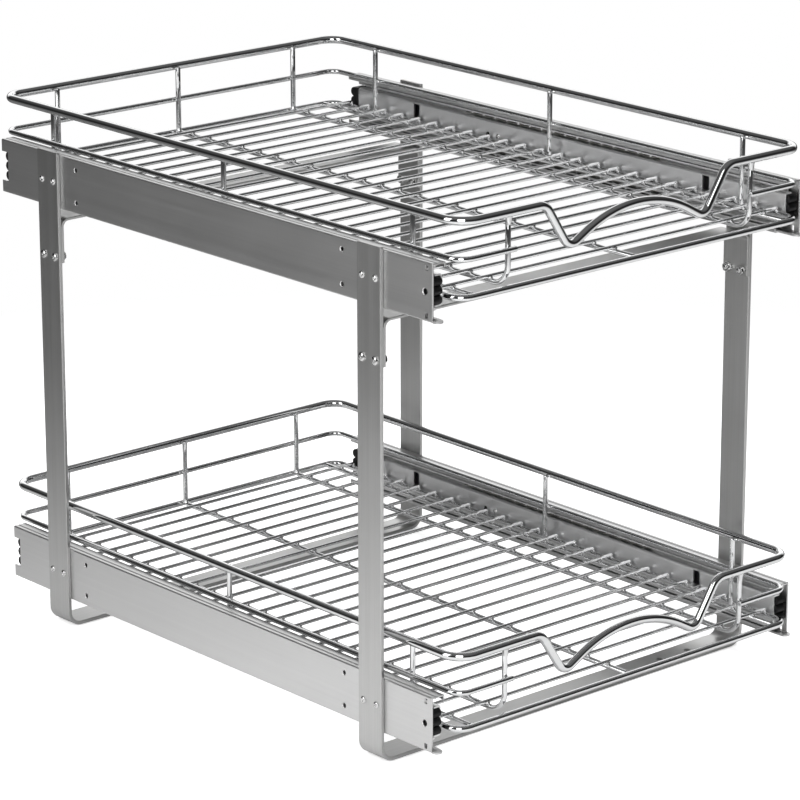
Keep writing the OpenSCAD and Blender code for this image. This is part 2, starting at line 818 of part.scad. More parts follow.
top_rim(lower_z);  // lower_top_rim
middle_rim(lower_z);  // lower_middle_rim
bottom_ring(lower_z);  // lower_bottom_ring
cross_wires(lower_z);  // lower_cross_wires
outer_long_wire(lower_z, -upright_x);  // lower_left_long_wire
centre_long_wire(lower_z);  // lower_centre_long_wire
outer_long_wire(lower_z, upright_x);  // lower_right_long_wire
side_long_wires(lower_z);  // lower_side_long_wires
side_uprights(lower_z, -side_upright_x);  // lower_left_uprights
side_uprights(lower_z, side_upright_x);  // lower_right_uprights
inner_member("left", lower_z);  // lower_left_inner_member
inner_member("right", lower_z);  // lower_right_inner_member
member_rivets(lower_z);  // lower_member_rivets
front_bumpers(lower_z);  // lower_front_bumpers

middle_member("left", upper_z);  // upper_left_middle_member
middle_member("right", upper_z);  // upper_right_middle_member
outer_cages(upper_z);  // upper_outer_cages
outer_balls(upper_z);  // upper_outer_balls
inner_cages(upper_z);  // upper_inner_cages
inner_balls(upper_z);  // upper_inner_balls
middle_member("left", lower_z);  // lower_left_middle_member
middle_member("right", lower_z);  // lower_right_middle_member
outer_cages(lower_z);  // lower_outer_cages
outer_balls(lower_z);  // lower_outer_balls
inner_cages(lower_z);  // lower_inner_cages
inner_balls(lower_z);  // lower_inner_balls
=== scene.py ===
"""Looks of the two-tier pull-out basket: plated wire, rolled slides, brushed strap, black bumpers.

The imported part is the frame. Wires, straps, fasteners, bumpers and the outer and inner slide
members are drawn again here in fine mesh over their own nodes, with rounded edges, rolled
flanges and weld beads. The middle members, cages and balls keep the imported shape. Sizes are
in millimetres and are those of the part's source; mesh points go out in metres.
"""

import math

import bmesh
import bpy
from mathutils import Matrix, Vector


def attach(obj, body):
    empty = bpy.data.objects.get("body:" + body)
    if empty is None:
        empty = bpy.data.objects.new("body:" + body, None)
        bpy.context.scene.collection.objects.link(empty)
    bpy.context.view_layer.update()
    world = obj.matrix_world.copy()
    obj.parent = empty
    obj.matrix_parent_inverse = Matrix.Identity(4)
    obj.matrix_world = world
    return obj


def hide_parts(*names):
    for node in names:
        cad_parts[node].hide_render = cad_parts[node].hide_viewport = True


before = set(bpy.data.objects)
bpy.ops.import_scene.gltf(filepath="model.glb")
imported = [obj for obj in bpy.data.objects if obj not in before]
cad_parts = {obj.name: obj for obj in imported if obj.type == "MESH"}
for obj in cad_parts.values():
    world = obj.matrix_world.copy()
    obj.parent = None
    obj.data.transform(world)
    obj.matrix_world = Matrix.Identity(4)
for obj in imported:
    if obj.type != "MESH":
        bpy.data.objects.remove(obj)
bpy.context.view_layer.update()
scene = bpy.context.scene
MM = 0.001

# -------------------------------------- sizes

# Frame
FRAME_W = 366.0
STRAP_W = 25.0
STRAP_T = 3.0
FOOT_BEND_R = 12.0
LEG_TOP_Z = 383.0
LEG_YS = (-201.5, 172.5)
BAR_T = 2.2
BAR_TOP_Z = 331.3
BAR_END_H = 35.0
BAR_BEND_R = 7.0
BOLT_Z = 300.7
PAIR_PITCH = 14.0
SCREW_XS = (-138.0, -108.0, 108.0, 138.0)
SCREW_D = 5.0
SCREW_LEAD = 0.4

# Slides: s runs inwards from the slide's outer face, h up from its bottom
TIERS = {"lower": 23.0, "upper": 339.0}
SIDES = {"left": -1, "right": 1}
SLIDE_Y0, SLIDE_Y1 = -252.0, 248.0
SLIDE_H = 42.0
SLIDE_T = 12.5
MID_H = SLIDE_H / 2
OUTER_T = 1.5
OUTER_LIP = 3.8
FLANGE_BEND_S = 7.4
FLANGE_FALL = 0.25
GROOVE_SS = (5.0, 3.9, 2.9)
GROOVE_DEPTH = 0.55
INNER_Y0, INNER_Y1 = -248.0, 235.6
INNER_S0 = 6.1
INNER_FACE_S = 12.4
INNER_HALF = 11.6
INNER_T = 1.5
INNER_BEND_R = 1.2
STOP_T = 5.0
REAR_STOP_T = 6.6
STOP_LOBE = 2.8
STOP_PLUG = 13.0
REAR_STOP_Y = 236.0
NOTCH_D = 8.0
NOTCH_H = 23.0
HOLE_YS = (-157.0, 153.0)
HOLE_SPREAD = 25.4
HOLE_D, HOLE_LEAD = 3.2, 0.55
END_HOLE_Y = -244.5
END_HOLE_D, END_HOLE_LEAD = 4.6, 0.45
END_SLOT_H, END_SLOT_LEN, END_SLOT_INSET = 4.0, 3.0, 4.0
TAB_W = 8.0
TAB_LEN = 5.0
TAB_ROOT = 1.5
LIP_CUT_LEN = 14.0
MEMBER_RIVET_Y = 65.0
MEMBER_EYE_STEP, MEMBER_EYE_D = 12.0, 4.0
WINDOW_W = 7.0
WINDOW_H = 12.0
TONGUE_T = 1.2
TONGUE_PAST = 3.0

# Basket wires, heights above the bottom of the slides
RIM_D, MID_D, RING_D, LONG_D, CROSS_D = 6.4, 4.2, 5.0, 4.0, 2.8
RIM_Z, MID_Z, RING_Z, LONG_Z, CROSS_Z = 70.5, 43.5, 16.4, 16.9, 20.32
RIM_X, RIM_Y, RIM_R = 168.78, 264.8, 16.0
MID_X, MID_Y = 167.68, 263.7
RING_X, RING_Y, RING_R = 168.08, 264.1, 11.0
UPRIGHT_X, UPRIGHT_Y, UPRIGHT_BEND_R, REAR_BEND_R = 120.0, 259.58, 14.5, 4.5
SIDE_UPRIGHT_X, SIDE_UPRIGHT_RISE = 163.56, 0.6
SIDE_WIRE_X = 155.0
CROSS_YS = [-241.5 + 21.0 * k for k in range(24)]
CROSS_GAP = 0.4
FLOOR_Z = RING_Z + RING_D / 2
SEAT = 0.02

# Handle
HANDLE_SPAN, HANDLE_DIP, HANDLE_CROWN = 128.0, 32.2, 19.2
CROWN_SLOPE, DIP_SLOPE = math.radians(29), math.radians(57)
DIP_R, SHOULDER_R = 9.0, 12.0

# Rounding of a wire's two ends, and the flat tip that stays, as shares of its radius
CUT_ENDS, BENT_CUT_ENDS, DOMED_TOP = (0.25, 0.25), (0.3, 0.3), (0.25, 0.85)
TIP_SHARE = 0.08

# A sheet's lips, rounded by a share of its half thickness, and the chamfer of its cut ends
LIP_ROUND, LIP_POINTS = 0.45, 5
SHEET_CHAMFER = 0.25

# Degrees above which an edge is shaded sharp, and where a punch starts and how far it goes through
SHEET_SHARP, WIRE_SHARP = 32.0, 50.0
PUNCH_START, PUNCH_PAST = -1.0, 0.6

# Angles of the points on the round end of a tab or a tongue
HALF_TURN = [math.pi * k / 12 for k in range(13)]


def between_cross_wires(wanted, width):
    """Place along the depth, near the wanted one, that stands clear of the cross wires."""
    pitch = CROSS_YS[1] - CROSS_YS[0]
    bay = math.floor((wanted - CROSS_YS[0]) / pitch)
    low = CROSS_YS[0] + bay * pitch + (CROSS_D + width) / 2 + CROSS_GAP
    high = low + pitch - CROSS_D - width - 2 * CROSS_GAP
    return max(low, min(high, wanted))


# The side uprights and the tongues, and how far they stand from the slide's middle
SLIDE_MID = (SLIDE_Y0 + SLIDE_Y1) / 2
UPRIGHT_STEP, TONGUE_STEP = 208.0, 164.0
SIDE_UPRIGHT_YS = [between_cross_wires(SLIDE_MID + UPRIGHT_STEP * k, LONG_D) for k in (-1, 0, 1)]
TONGUE_YS = [between_cross_wires(SLIDE_MID + TONGUE_STEP * k, WINDOW_W) for k in (-1, 1)]

# -------------------------------------- mesh work


def bent_path(corners, radii, closed=False, step=6.0, support=0.0):
    """Points of a line that is straight between its corners and bent by the given radii there."""
    corners = [Vector(c) for c in corners]
    count = len(corners)
    points = []
    for i, corner in enumerate(corners):
        if not closed and i in (0, count - 1):
            points.append(corner)
            continue
        r = radii[i] if closed else radii[i - 1]
        way_in = (corner - corners[i - 1]).normalized()
        way_out = (corners[(i + 1) % count] - corner).normalized()
        turn = way_in.angle(way_out)
        if turn < 1e-5 or r <= 0:
            points.append(corner)
            continue
        reach = r * math.tan(turn / 2)
        start = corner - way_in * reach
        side = (way_out - way_in * way_in.dot(way_out)).normalized()
        steps = max(2, math.ceil(turn / math.radians(step)), math.ceil(turn * r / 3))
        if support:
            points.append(start - way_in * support)
        for k in range(steps + 1):
            a = turn * k / steps
            points.append(start + side * r * (1 - math.cos(a)) + way_in * r * math.sin(a))
        if support:
            points.append(corner + way_out * (reach + support))
    return points


def path_ways(path, closed):
    """Direction of the path at each of its points."""
    count = len(path)
    ways = []
    for i in range(count):
        before = path[i] - path[i - 1] if closed or i else path[1] - path[0]
        after = path[(i + 1) % count] - path[i] if closed or i < count - 1 else before
        ways.append((before.normalized() + after.normalized()).normalized())
    return ways


def path_frames(path, closed):
    """Two directions square to the path at each of its points, without twist."""
    ways = path_ways(path, closed)
    first = ways[0].orthogonal().normalized()
    frames = []
    for i, way in enumerate(ways):
        if i:
            first = ways[i - 1].rotation_difference(way) @ first
            first = (first - way * first.dot(way)).normalized()
        frames.append((first, way.cross(first)))
    if closed:
        back = ways[-1].rotation_difference(ways[0]) @ first
        slip = math.atan2(back.dot(frames[0][1]), back.dot(frames[0][0]))
        for i, (a, b) in enumerate(frames):
            t = -slip * i / len(path)
            frames[i] = (a * math.cos(t) + b * math.sin(t), b * math.cos(t) - a * math.sin(t))
    return frames


def put(bm, point):
    """Mesh point at a place."""
    return bm.verts.new(Vector(point) * MM)


def ring_of(bm, centre, first, second, outline):
    """Ring of mesh points: the outline, laid out along two directions round the centre."""
    return [put(bm, centre + first * a + second * b) for a, b in outline]


def skin(bm, low, high):
    """Faces between two rings of as many points."""
    count = len(low)
    for k in range(count):
        n = (k + 1) % count
        bm.faces.new((low[k], low[n], high[n], high[k]))


def skin_all(bm, rings, capped=True):
    """Faces from each ring to the next, and one over either end."""
    for low, high in zip(rings, rings[1:]):
        skin(bm, low, high)
    if capped:
        bm.faces.new(list(reversed(rings[0])))
        bm.faces.new(rings[-1])


def oval_outline(wide, high, sides):
    """Points (a, b) of an ellipse with the given half sizes."""
    turns = [2 * math.pi * k / sides for k in range(sides)]
    return [(wide * math.cos(a), high * math.sin(a)) for a in turns]


def circle_outline(r, sides):
    return oval_outline(r, r, sides)


def draw_wire(bm, path, d, sides, closed, round_ends):
    """Round wire along the path. An open wire's ends are rounded by shares of its radius."""
    r = d / 2
    frames = path_frames(path, closed)
    outline = circle_outline(r, sides)
    if closed:
        rings = [ring_of(bm, p, a, b, outline) for p, (a, b) in zip(path, frames)]
        skin_all(bm, rings + rings[:1], capped=False)
        return
    ends = []
    for at, neighbour, share in ((0, 1, round_ends[0]), (-1, -2, round_ends[1])):
        out = (path[at] - path[neighbour]).normalized()
        e = r * share
        stops = 5 if share > 0.5 else 3
        lip = []
        for k in range(stops + 1):
            t = math.radians(90 * k / stops)
            edge_r = max(r - e + e * math.cos(t), r * TIP_SHARE)
            centre = path[at] + out * e * (math.sin(t) - 1)
            lip.append(ring_of(bm, centre, *frames[at], circle_outline(edge_r, sides)))
        ends.append(lip)
    middle = [ring_of(bm, p, a, b, outline) for p, (a, b) in zip(path[1:-1], frames[1:-1])]
    skin_all(bm, ends[0][::-1] + middle + ends[1])


def weld_bead(bm, centre, half, sides=12, belts=7, fullness=0.8):
    """Small squashed bead of weld metal with the given half sizes."""
    rows = []
    for j in range(1, belts):
        lift = -math.pi / 2 + math.pi * j / belts
        wide = math.cos(lift) ** fullness
        level = Vector(centre) + Vector((0, 0, half[2] * math.sin(lift)))
        outline = oval_outline(half[0] * wide, half[1] * wide, sides)
        rows.append(ring_of(bm, level, Vector((1, 0, 0)), Vector((0, 1, 0)), outline))
    skin_all(bm, rows)


def weld_flare(bm, foot, reach, r, wide, thick, sides=16, belts=8, flare=2.6):
    """Trumpet of weld metal that rises from a wire of radius r and widens along the rim."""
    rows = []
    for j in range(belts + 1):
        t = j / belts
        outline = oval_outline(r + (wide - r) * t**flare, r + (thick - r) * t, sides)
        level = Vector(foot) + Vector((0, 0, reach * t))
        rows.append(ring_of(bm, level, Vector((1, 0, 0)), Vector((0, 1, 0)), outline))
    skin_all(bm, rows)


def unfold(side):
    """Side line of a sheet, with every loop that a tight bend makes pulled in to its crossing."""
    flat = [p.copy() for p in side]
    i = 0
    while i < len(side) - 2:
        for j in range(len(side) - 2, i + 1, -1):
            first, second, gap = side[i + 1] - side[i], side[j + 1] - side[j], side[j] - side[i]
            cross = first.x * second.z - first.z * second.x
            if abs(cross) < 1e-9:
                continue
            along = (gap.x * second.z - gap.z * second.x) / cross
            back = (gap.x * first.z - gap.z * first.x) / cross
            if 0 <= along <= 1 and 0 <= back <= 1:
                for k in range(i + 1, j + 1):
                    flat[k] = side[i] + first * along
                i = j - 1
                break
        i += 1
    return flat


def roll_section(bm, spine, t, y0, y1, place):
    """Sheet of thickness t, rolled to the spine (s, h) and run along the depth from y0 to y1."""
    count, half = len(spine), t / 2
    normals = [Vector((way.z, 0, -way.x)) for way in path_ways(spine, False)]
    left = unfold([p + n * half for p, n in zip(spine, normals)])
    right = unfold([p - n * half for p, n in zip(spine, normals)])
    lips = []
    for at, neighbour in ((0, 1), (-1, -2)):
        out = (spine[at] - spine[neighbour]).normalized() * half * LIP_ROUND
        up = normals[at] * half
        turns = [math.pi * k / (LIP_POINTS + 1) for k in range(1, LIP_POINTS + 1)]
        lips.append([spine[at] + up * math.cos(a) + out * math.sin(a) for a in turns])
    outline = left + lips[1] + right[::-1] + lips[0][::-1]
    middle = [(p + q) / 2 for p, q in zip(left, right)]
    middle = middle + [spine[-1]] * LIP_POINTS + middle[::-1] + [spine[0]] * LIP_POINTS
    chamfer = min(SHEET_CHAMFER, t / 5)
    rings = []
    for y, inset in ((y0, chamfer), (y0 + chamfer, 0), (y1 - chamfer, 0), (y1, chamfer)):
        ring = []
        for p, m in zip(outline, middle):
            q = p + (m - p).normalized() * inset if inset and (m - p).length > 1e-6 else p
            ring.append(put(bm, place(q.x, y, q.z)))
        rings.append(ring)
    skin_all(bm, rings, capped=False)
    last = len(outline) - LIP_POINTS - 1
    for ring in (rings[0], rings[-1]):
        for i in range(count - 1):
            bm.faces.new((ring[i], ring[i + 1], ring[last - 1 - i], ring[last - i]))
        bm.faces.new(ring[count - 1:count + LIP_POINTS + 1])
        bm.faces.new(ring[last:] + [ring[0]])
    bmesh.ops.remove_doubles(bm, verts=bm.verts, dist=0.004 * MM)


def turned(bm, profile, centre, axis, sides=28):
    """Turned piece: profile of (distance along the axis, radius), spun round the axis."""
    axis = Vector(axis).normalized()
    first = axis.orthogonal().normalized()
    second = axis.cross(first)
    skin_all(bm, [ring_of(bm, Vector(centre) + axis * a, first, second, circle_outline(r, sides))
                  for a, r in profile])


def prism(bm, outline, s0, s1, place, edge, steps=3):
    """Block whose outline (y, h) runs across the width from s0 to s1, with rounded long edges."""
    turns = [math.radians(90 * k / steps) for k in range(steps + 1)]
    rows = [(s0 + edge * (1 - math.cos(t)), edge * (1 - math.sin(t))) for t in turns]
    rows += [(s0 + s1 - s, inset) for s, inset in reversed(rows)]
    points = [Vector(p) for p in outline]
    normals = []
    for before, point, after in zip(points[-1:] + points, points, points[1:] + points[:1]):
        way = ((point - before).normalized() + (after - point).normalized()).normalized()
        normals.append(Vector((-way.y, way.x)))
    skin_all(bm, [[put(bm, place(s, *(p + n * inset))) for p, n in zip(points, normals)]
                  for s, inset in rows])


def on_side(side, base_z):
    """Turns a place (s, y, h) of a slide on that side into a point of the frame."""
    sign = SIDES[side]
    return lambda s, y, h: (sign * (FRAME_W / 2 - s), y, base_z + h)


def finish_mesh(name, bm, material, body, nodes=(), sharp=SHEET_SHARP):
    """Turns drawn faces into a piece that rides on its body and stands for its nodes."""
    bmesh.ops.recalc_face_normals(bm, faces=bm.faces)
    mesh = bpy.data.meshes.new(name)
    bm.to_mesh(mesh)
    bm.free()
    mesh.materials.append(material)
    mesh.shade_smooth()
    mesh.set_sharp_from_angle(angle=math.radians(sharp))
    piece = bpy.data.objects.new(name, mesh)
    scene.collection.objects.link(piece)
    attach(piece, body)
    if nodes:
        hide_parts(*nodes)


def punch(name, bm, cutters):
    """Cuts the holes drawn in cutters out of the sheet drawn in bm and gives the sheet back."""
    made = []
    for label, drawn in ((name + "_sheet", bm), (name + "_punches", cutters)):
        bmesh.ops.recalc_face_normals(drawn, faces=drawn.faces)
        mesh = bpy.data.meshes.new(label)
        drawn.to_mesh(mesh)
        drawn.free()
        obj = bpy.data.objects.new(label, mesh)
        scene.collection.objects.link(obj)
        made.append(obj)
    sheet, punches = made
    cut = sheet.modifiers.new("punch", "BOOLEAN")
    cut.operation = "DIFFERENCE"
    cut.solver = "EXACT"
    cut.object = punches
    bpy.context.view_layer.update()
    view = bpy.context.evaluated_depsgraph_get()
    done = bpy.data.meshes.new_from_object(sheet.evaluated_get(view))
    result = bmesh.new()
    result.from_mesh(done)
    for obj in made:
        mesh = obj.data
        bpy.data.objects.remove(obj)
        bpy.data.meshes.remove(mesh)
    bpy.data.meshes.remove(done)
    return result


# -------------------------------------- shader work


def plug(tree, socket, value):
    """Links an output to the input socket, or sets a plain value on it."""
    if isinstance(value, bpy.types.NodeSocket):
        tree.links.new(value, socket)
    else:
        socket.default_value = value


def add_node(tree, kind, inputs=(), **settings):
    """New node in the shader tree, with its settings and with its inputs by label or number."""
    node = tree.nodes.new(kind)
    for setting, value in settings.items():
        setattr(node, setting, value)
    for label, value in dict(inputs).items():
        plug(tree, node.inputs[label], value)
    return node


def number(tree, operation, a, b):
    """Result of a sum on sockets or plain numbers."""
    return add_node(tree, "ShaderNodeMath", {0: a, 1: b}, operation=operation).outputs[0]


def vector(tree, operation, a, b=(0, 0, 0), result="Vector"):
    """Result of a sum on places or directions. A length or a distance is its Value."""
    return add_node(tree, "ShaderNodeVectorMath", {0: a, 1: b}, operation=operation).outputs[result]


def spread_value(tree, source, low, high, start=0.3, stop=0.7):
    """Number from low to high as the source runs from start to stop."""
    inputs = {"Value": source, "From Min": start, "From Max": stop, "To Min": low, "To Max": high}
    return add_node(tree, "ShaderNodeMapRange", inputs).outputs["Result"]


def grey(tone):
    return (tone, tone, tone, 1)


def tint(tree, mask, dark, light):
    """Colour between dark and light by the mask."""
    inputs = {"Fac": mask, "Color1": dark, "Color2": light}
    return add_node(tree, "ShaderNodeMixRGB", inputs).outputs["Color"]


def new_group(name, inputs, outputs):
    """Shader group with vector and number sockets: gives it, its inputs and its outputs."""
    group = bpy.data.node_groups.new(name, "ShaderNodeTree")
    for label, default in inputs.items():
        kind = "NodeSocketVector" if isinstance(default, tuple) else "NodeSocketFloat"
        group.interface.new_socket(label, in_out="INPUT", socket_type=kind).default_value = default
    for label in outputs:
        group.interface.new_socket(label, in_out="OUTPUT", socket_type="NodeSocketFloat")
    given = group.nodes.new("NodeGroupInput").outputs
    return group, given, group.nodes.new("NodeGroupOutput").inputs


def make_rolling_lines():
    """Fine lines and broad bands that a rolling mill or a brush leaves along the metal."""
    group, given, result = new_group(
        "rolling_lines", {"Place": (0, 0, 0), "Stretch": (1, 1, 1)}, ["Lines", "Bands"])
    stretched = vector(group, "MULTIPLY", given["Place"], given["Stretch"])
    fine = add_node(group, "ShaderNodeTexNoise",
                    {"Vector": stretched, "Scale": 1.0, "Detail": 5.0, "Roughness": 0.62})
    broad = add_node(group, "ShaderNodeTexNoise",
                     {"Vector": stretched, "Scale": 0.16, "Detail": 2.0})
    plug(group, result["Lines"], fine.outputs["Fac"])
    plug(group, result["Bands"], broad.outputs["Fac"])
    return group


def make_handling_marks():
    """Soft blotches, hair-fine scratches and specks from plating, handling and packing."""
    group, given, result = new_group(
        "handling_marks", {"Place": (0, 0, 0), "Blotch Size": 22.0, "Scratch Size": 90.0},
        ["Blotch", "Scratch", "Specks"])
    place = given["Place"]
    blotch = add_node(group, "ShaderNodeTexNoise", {
        "Vector": place, "Scale": given["Blotch Size"], "Detail": 3.0, "Distortion": 0.6,
    }).outputs["Fac"]
    warp = add_node(group, "ShaderNodeTexNoise", {"Vector": place, "Scale": 9.0}).outputs["Color"]
    hair = add_node(group, "ShaderNodeTexVoronoi", {
        "Vector": tint(group, 0.12, place, warp), "Scale": given["Scratch Size"],
    }, feature="DISTANCE_TO_EDGE").outputs["Distance"]
    thin = spread_value(group, hair, 1.0, 0.0, 0.0, 0.012)
    speck_scale = number(group, "MULTIPLY", given["Blotch Size"], 26.0)
    specks = add_node(group, "ShaderNodeTexNoise",
                      {"Vector": place, "Scale": speck_scale, "Detail": 1.0}).outputs["Fac"]
    patches = number(group, "GREATER_THAN", blotch, 0.56)
    plug(group, result["Blotch"], blotch)
    plug(group, result["Scratch"], number(group, "MULTIPLY", thin, patches))
    plug(group, result["Specks"], spread_value(group, specks, 0.0, 1.0, 0.66, 0.78))
    return group


rolling_lines = make_rolling_lines()
handling_marks = make_handling_marks()


def empty_tree(owner):
    """Cleared shader tree of a material or a world."""
    owner.use_nodes = True
    owner.node_tree.nodes.clear()
    return owner.node_tree


def new_finish(name, metallic, blotch_size, scratch_size):
    """New material: gives it, its tree, its Principled shader, the place and its handling marks."""
    material = bpy.data.materials.new(name)
    tree = empty_tree(material)
    shader = add_node(tree, "ShaderNodeBsdfPrincipled", {"Metallic": metallic})
    add_node(tree, "ShaderNodeOutputMaterial", {"Surface": shader.outputs["BSDF"]})
    place = add_node(tree, "ShaderNodeTexCoord").outputs["Object"]
    marks = add_node(tree, "ShaderNodeGroup", {
        "Place": place, "Blotch Size": blotch_size, "Scratch Size": scratch_size,
    }, node_tree=handling_marks).outputs
    return material, tree, shader, place, marks


def raise_surface(tree, shader, height, strength, distance):
    """Fine relief on the shader's surface."""
    inputs = {"Height": height, "Strength": strength, "Distance": distance}
    plug(tree, shader.inputs["Normal"], add_node(tree, "ShaderNodeBump", inputs).outputs["Normal"])


def blotchy_finish(name, dark, light, rough, blotch_size, scratch_size,
                   wear=None, relief=None, metallic=1.0):
    """Finish whose tone and roughness follow soft blotches; wear is a mark that adds roughness."""
    material, tree, shader, place, marks = new_finish(name, metallic, blotch_size, scratch_size)
    plug(tree, shader.inputs["Base Color"], tint(tree, marks["Blotch"], (*dark, 1), (*light, 1)))
    worn = spread_value(tree, marks["Blotch"], *rough)
    if wear:
        worn = number(tree, "ADD", worn, number(tree, "MULTIPLY", marks[wear[0]], wear[1]))
    plug(tree, shader.inputs["Roughness"], worn)
    if relief:
        raise_surface(tree, shader, marks["Blotch"], *relief)
    return material, tree, shader, place


def rolled_sheet(name, dark, light, rough, stretch, line_depth, grain_uv=False):
    """Zinc plated or brushed sheet: grain lines, broad bands, soft blotches and fine scratches."""
    material, tree, shader, place, marks = new_finish(name, 1.0, 14.0, 60.0)
    if grain_uv:
        grain_place = add_node(tree, "ShaderNodeUVMap", uv_map="run").outputs["UV"]
    else:
        grain_place = place
    grain = add_node(tree, "ShaderNodeGroup", {"Place": grain_place, "Stretch": stretch},
                     node_tree=rolling_lines).outputs
    tone = number(tree, "ADD", number(tree, "MULTIPLY", grain["Lines"], 0.45),
                  number(tree, "MULTIPLY", grain["Bands"], 0.3))
    tone = number(tree, "ADD", tone, number(tree, "MULTIPLY", marks["Blotch"], 0.25))
    tone = spread_value(tree, tone, 0.0, 1.0, 0.34, 0.66)
    plug(tree, shader.inputs["Base Color"], tint(tree, tone, (*dark, 1), (*light, 1)))
    worn = number(tree, "ADD", spread_value(tree, tone, *rough, 0.0, 1.0),
                  number(tree, "MULTIPLY", marks["Scratch"], -0.03))
    plug(tree, shader.inputs["Roughness"], worn)
    height = number(tree, "SUBTRACT", grain["Lines"],
                    number(tree, "MULTIPLY", marks["Scratch"], 0.15))
    raise_surface(tree, shader, height, line_depth, 0.0003)
    return material


def bumper_moulding():
    """Black moulded plastic with a fine matt grain and a slight bloom."""
    material, tree, shader, place = blotchy_finish(
        "bumper_moulding", (0.003, 0.003, 0.003), (0.008, 0.008, 0.0085), (0.42, 0.56), 60.0, 200.0,
        metallic=0.0)
    shader.inputs["IOR"].default_value = 1.38
    grain = add_node(tree, "ShaderNodeTexNoise", {"Vector": place, "Scale": 2600.0})
    raise_surface(tree, shader, grain.outputs["Fac"], 0.15, 0.0002)
    return material


# Bright chrome on drawn wire, almost a mirror; the same chrome over lumpy weld metal
CHROME = blotchy_finish("chrome_plate", (0.78, 0.785, 0.79), (0.86, 0.865, 0.87), (0.03, 0.065),
                        16.0, 120.0, wear=("Scratch", 0.1), relief=(0.06, 0.0006))[0]
WELD = blotchy_finish("plated_weld", (0.7, 0.7, 0.7), (0.86, 0.865, 0.87), (0.05, 0.12),
                      140.0, 160.0, relief=(0.35, 0.0006))[0]

# Brushed strap, and the zinc plated sheet of the slides and their ball cages
STRAP = rolled_sheet("brushed_strap", (0.5, 0.5, 0.495), (0.6, 0.6, 0.595), (0.27, 0.38),
                     (9.0, 900.0, 1.0), 0.12, grain_uv=True)
RAIL = rolled_sheet("zinc_outer_rail", (0.63, 0.63, 0.628), (0.69, 0.69, 0.688), (0.31, 0.38),
                    (500.0, 5.0, 500.0), 0.05)
MEMBER = rolled_sheet("zinc_slide_member", (0.8, 0.8, 0.8), (0.86, 0.86, 0.86), (0.28, 0.36),
                      (520.0, 6.0, 520.0), 0.03)
# Ball cages: a passivated finish whose tone is kept dark as painted shade for the gap between the
# members
CAGE = rolled_sheet("passivated_cage_painted_shade", (0.26, 0.255, 0.235), (0.36, 0.355, 0.33), (0.24, 0.34),
                    (300.0, 12.0, 300.0), 0.05)

# Small turned or pressed fasteners in bright zinc, and polished balls
FASTENER = blotchy_finish("zinc_fastener", (0.6, 0.6, 0.6), (0.76, 0.76, 0.755), (0.14, 0.26),
                          90.0, 220.0, wear=("Specks", 0.08), relief=(0.08, 0.0004))[0]
BALL = blotchy_finish("polished_ball", (0.74, 0.74, 0.75), (0.82, 0.82, 0.83), (0.04, 0.09),
                      90.0, 220.0, wear=("Specks", 0.08), relief=(0.08, 0.0004))[0]
BUMPER = bumper_moulding()

# -------------------------------------- frame pieces


def strap_outline(t, edge_r):
    """Section of a flat strap with rounded edges."""
    w, h = STRAP_W / 2, t / 2
    corners = [(-w, 0, -h), (w, 0, -h), (w, 0, h), (-w, 0, h)]
    ring = bent_path(corners, [edge_r] * 4, closed=True, step=30, support=0.5)
    return [(p.x, p.z) for p in ring]


def bent_strap(face_x, end_z, middle_z, bend_r, leg_y, t, edge_r, face_shift=40.0):
    """Strap bent to a U between two sides, with grain that runs along it, another on each face."""
    bm = bmesh.new()
    corners = [(x, leg_y + STRAP_W / 2, z) for x, z in (
        (-face_x, end_z), (-face_x, middle_z), (face_x, middle_z), (face_x, end_z))]
    path = bent_path(corners, [bend_r - t / 2] * 2, step=5, support=1.0)
    first_cut = (path[1] - path[0]).normalized() * edge_r * 0.6
    last_cut = (path[-2] - path[-1]).normalized() * edge_r * 0.6
    path = [path[0], path[0] + first_cut] + path[1:-1] + [path[-1] + last_cut, path[-1]]
    across = Vector((0, 1, 0))
    outline = strap_outline(t, edge_r)
    run = bm.loops.layers.uv.new("run")
    rings, runs, gone = [], [], 0.0
    for i, (p, way) in enumerate(zip(path, path_ways(path, False))):
        gone += (p - path[i - 1]).length if i else 0
        cut = 1.2 * edge_r if i in (0, len(path) - 1) else 0
        section = [(u * (1 - cut / STRAP_W), v * (1 - cut / t)) for u, v in outline]
        rings.append(ring_of(bm, p, across, way.cross(across).normalized(), section))
        runs.append(gone)
    count = len(outline)
    for j in range(len(rings) - 1):
        for k in range(count):
            n = (k + 1) % count
            face = bm.faces.new((rings[j][k], rings[j][n], rings[j + 1][n], rings[j + 1][k]))
            for loop, (i, m) in zip(face.loops, ((j, k), (j, n), (j + 1, n), (j + 1, k))):
                shift = face_shift if outline[m][1] > 0 else 0
                loop[run].uv = (runs[i] * MM, (outline[m][0] + shift) * MM)
    for ring in (rings[0], rings[-1]):
        bm.faces.new(ring)
    return bm


def dress_floor_frame(node, leg_y):
    """Both legs and the floor strap, bent from one brushed strap, with its four screw holes."""
    bm = bent_strap(FRAME_W / 2 + STRAP_T / 2, LEG_TOP_Z, STRAP_T / 2,
                    FOOT_BEND_R, leg_y, STRAP_T, 0.55)
    cutters = bmesh.new()
    r, lead_r = SCREW_D / 2, SCREW_D / 2 + SCREW_LEAD
    profile = [(-1, r), (STRAP_T - SCREW_LEAD, r), (STRAP_T, lead_r), (STRAP_T + 1, lead_r)]
    for x in SCREW_XS:
        turned(cutters, profile, (x, leg_y + STRAP_W / 2, 0), (0, 0, 1), sides=36)
    bm = punch(node, bm, cutters)
    finish_mesh("brushed_" + node, bm, STRAP, "frame", [node])


def dress_cross_bar(node, leg_y):
    """Cross bar under the upper slides, ends turned down inside the legs."""
    bm = bent_strap(FRAME_W / 2 - BAR_T / 2, BAR_TOP_Z - BAR_END_H, BAR_TOP_Z - BAR_T / 2,
                    BAR_BEND_R, leg_y, BAR_T, 0.45)
    finish_mesh("brushed_" + node, bm, STRAP, "frame", [node])


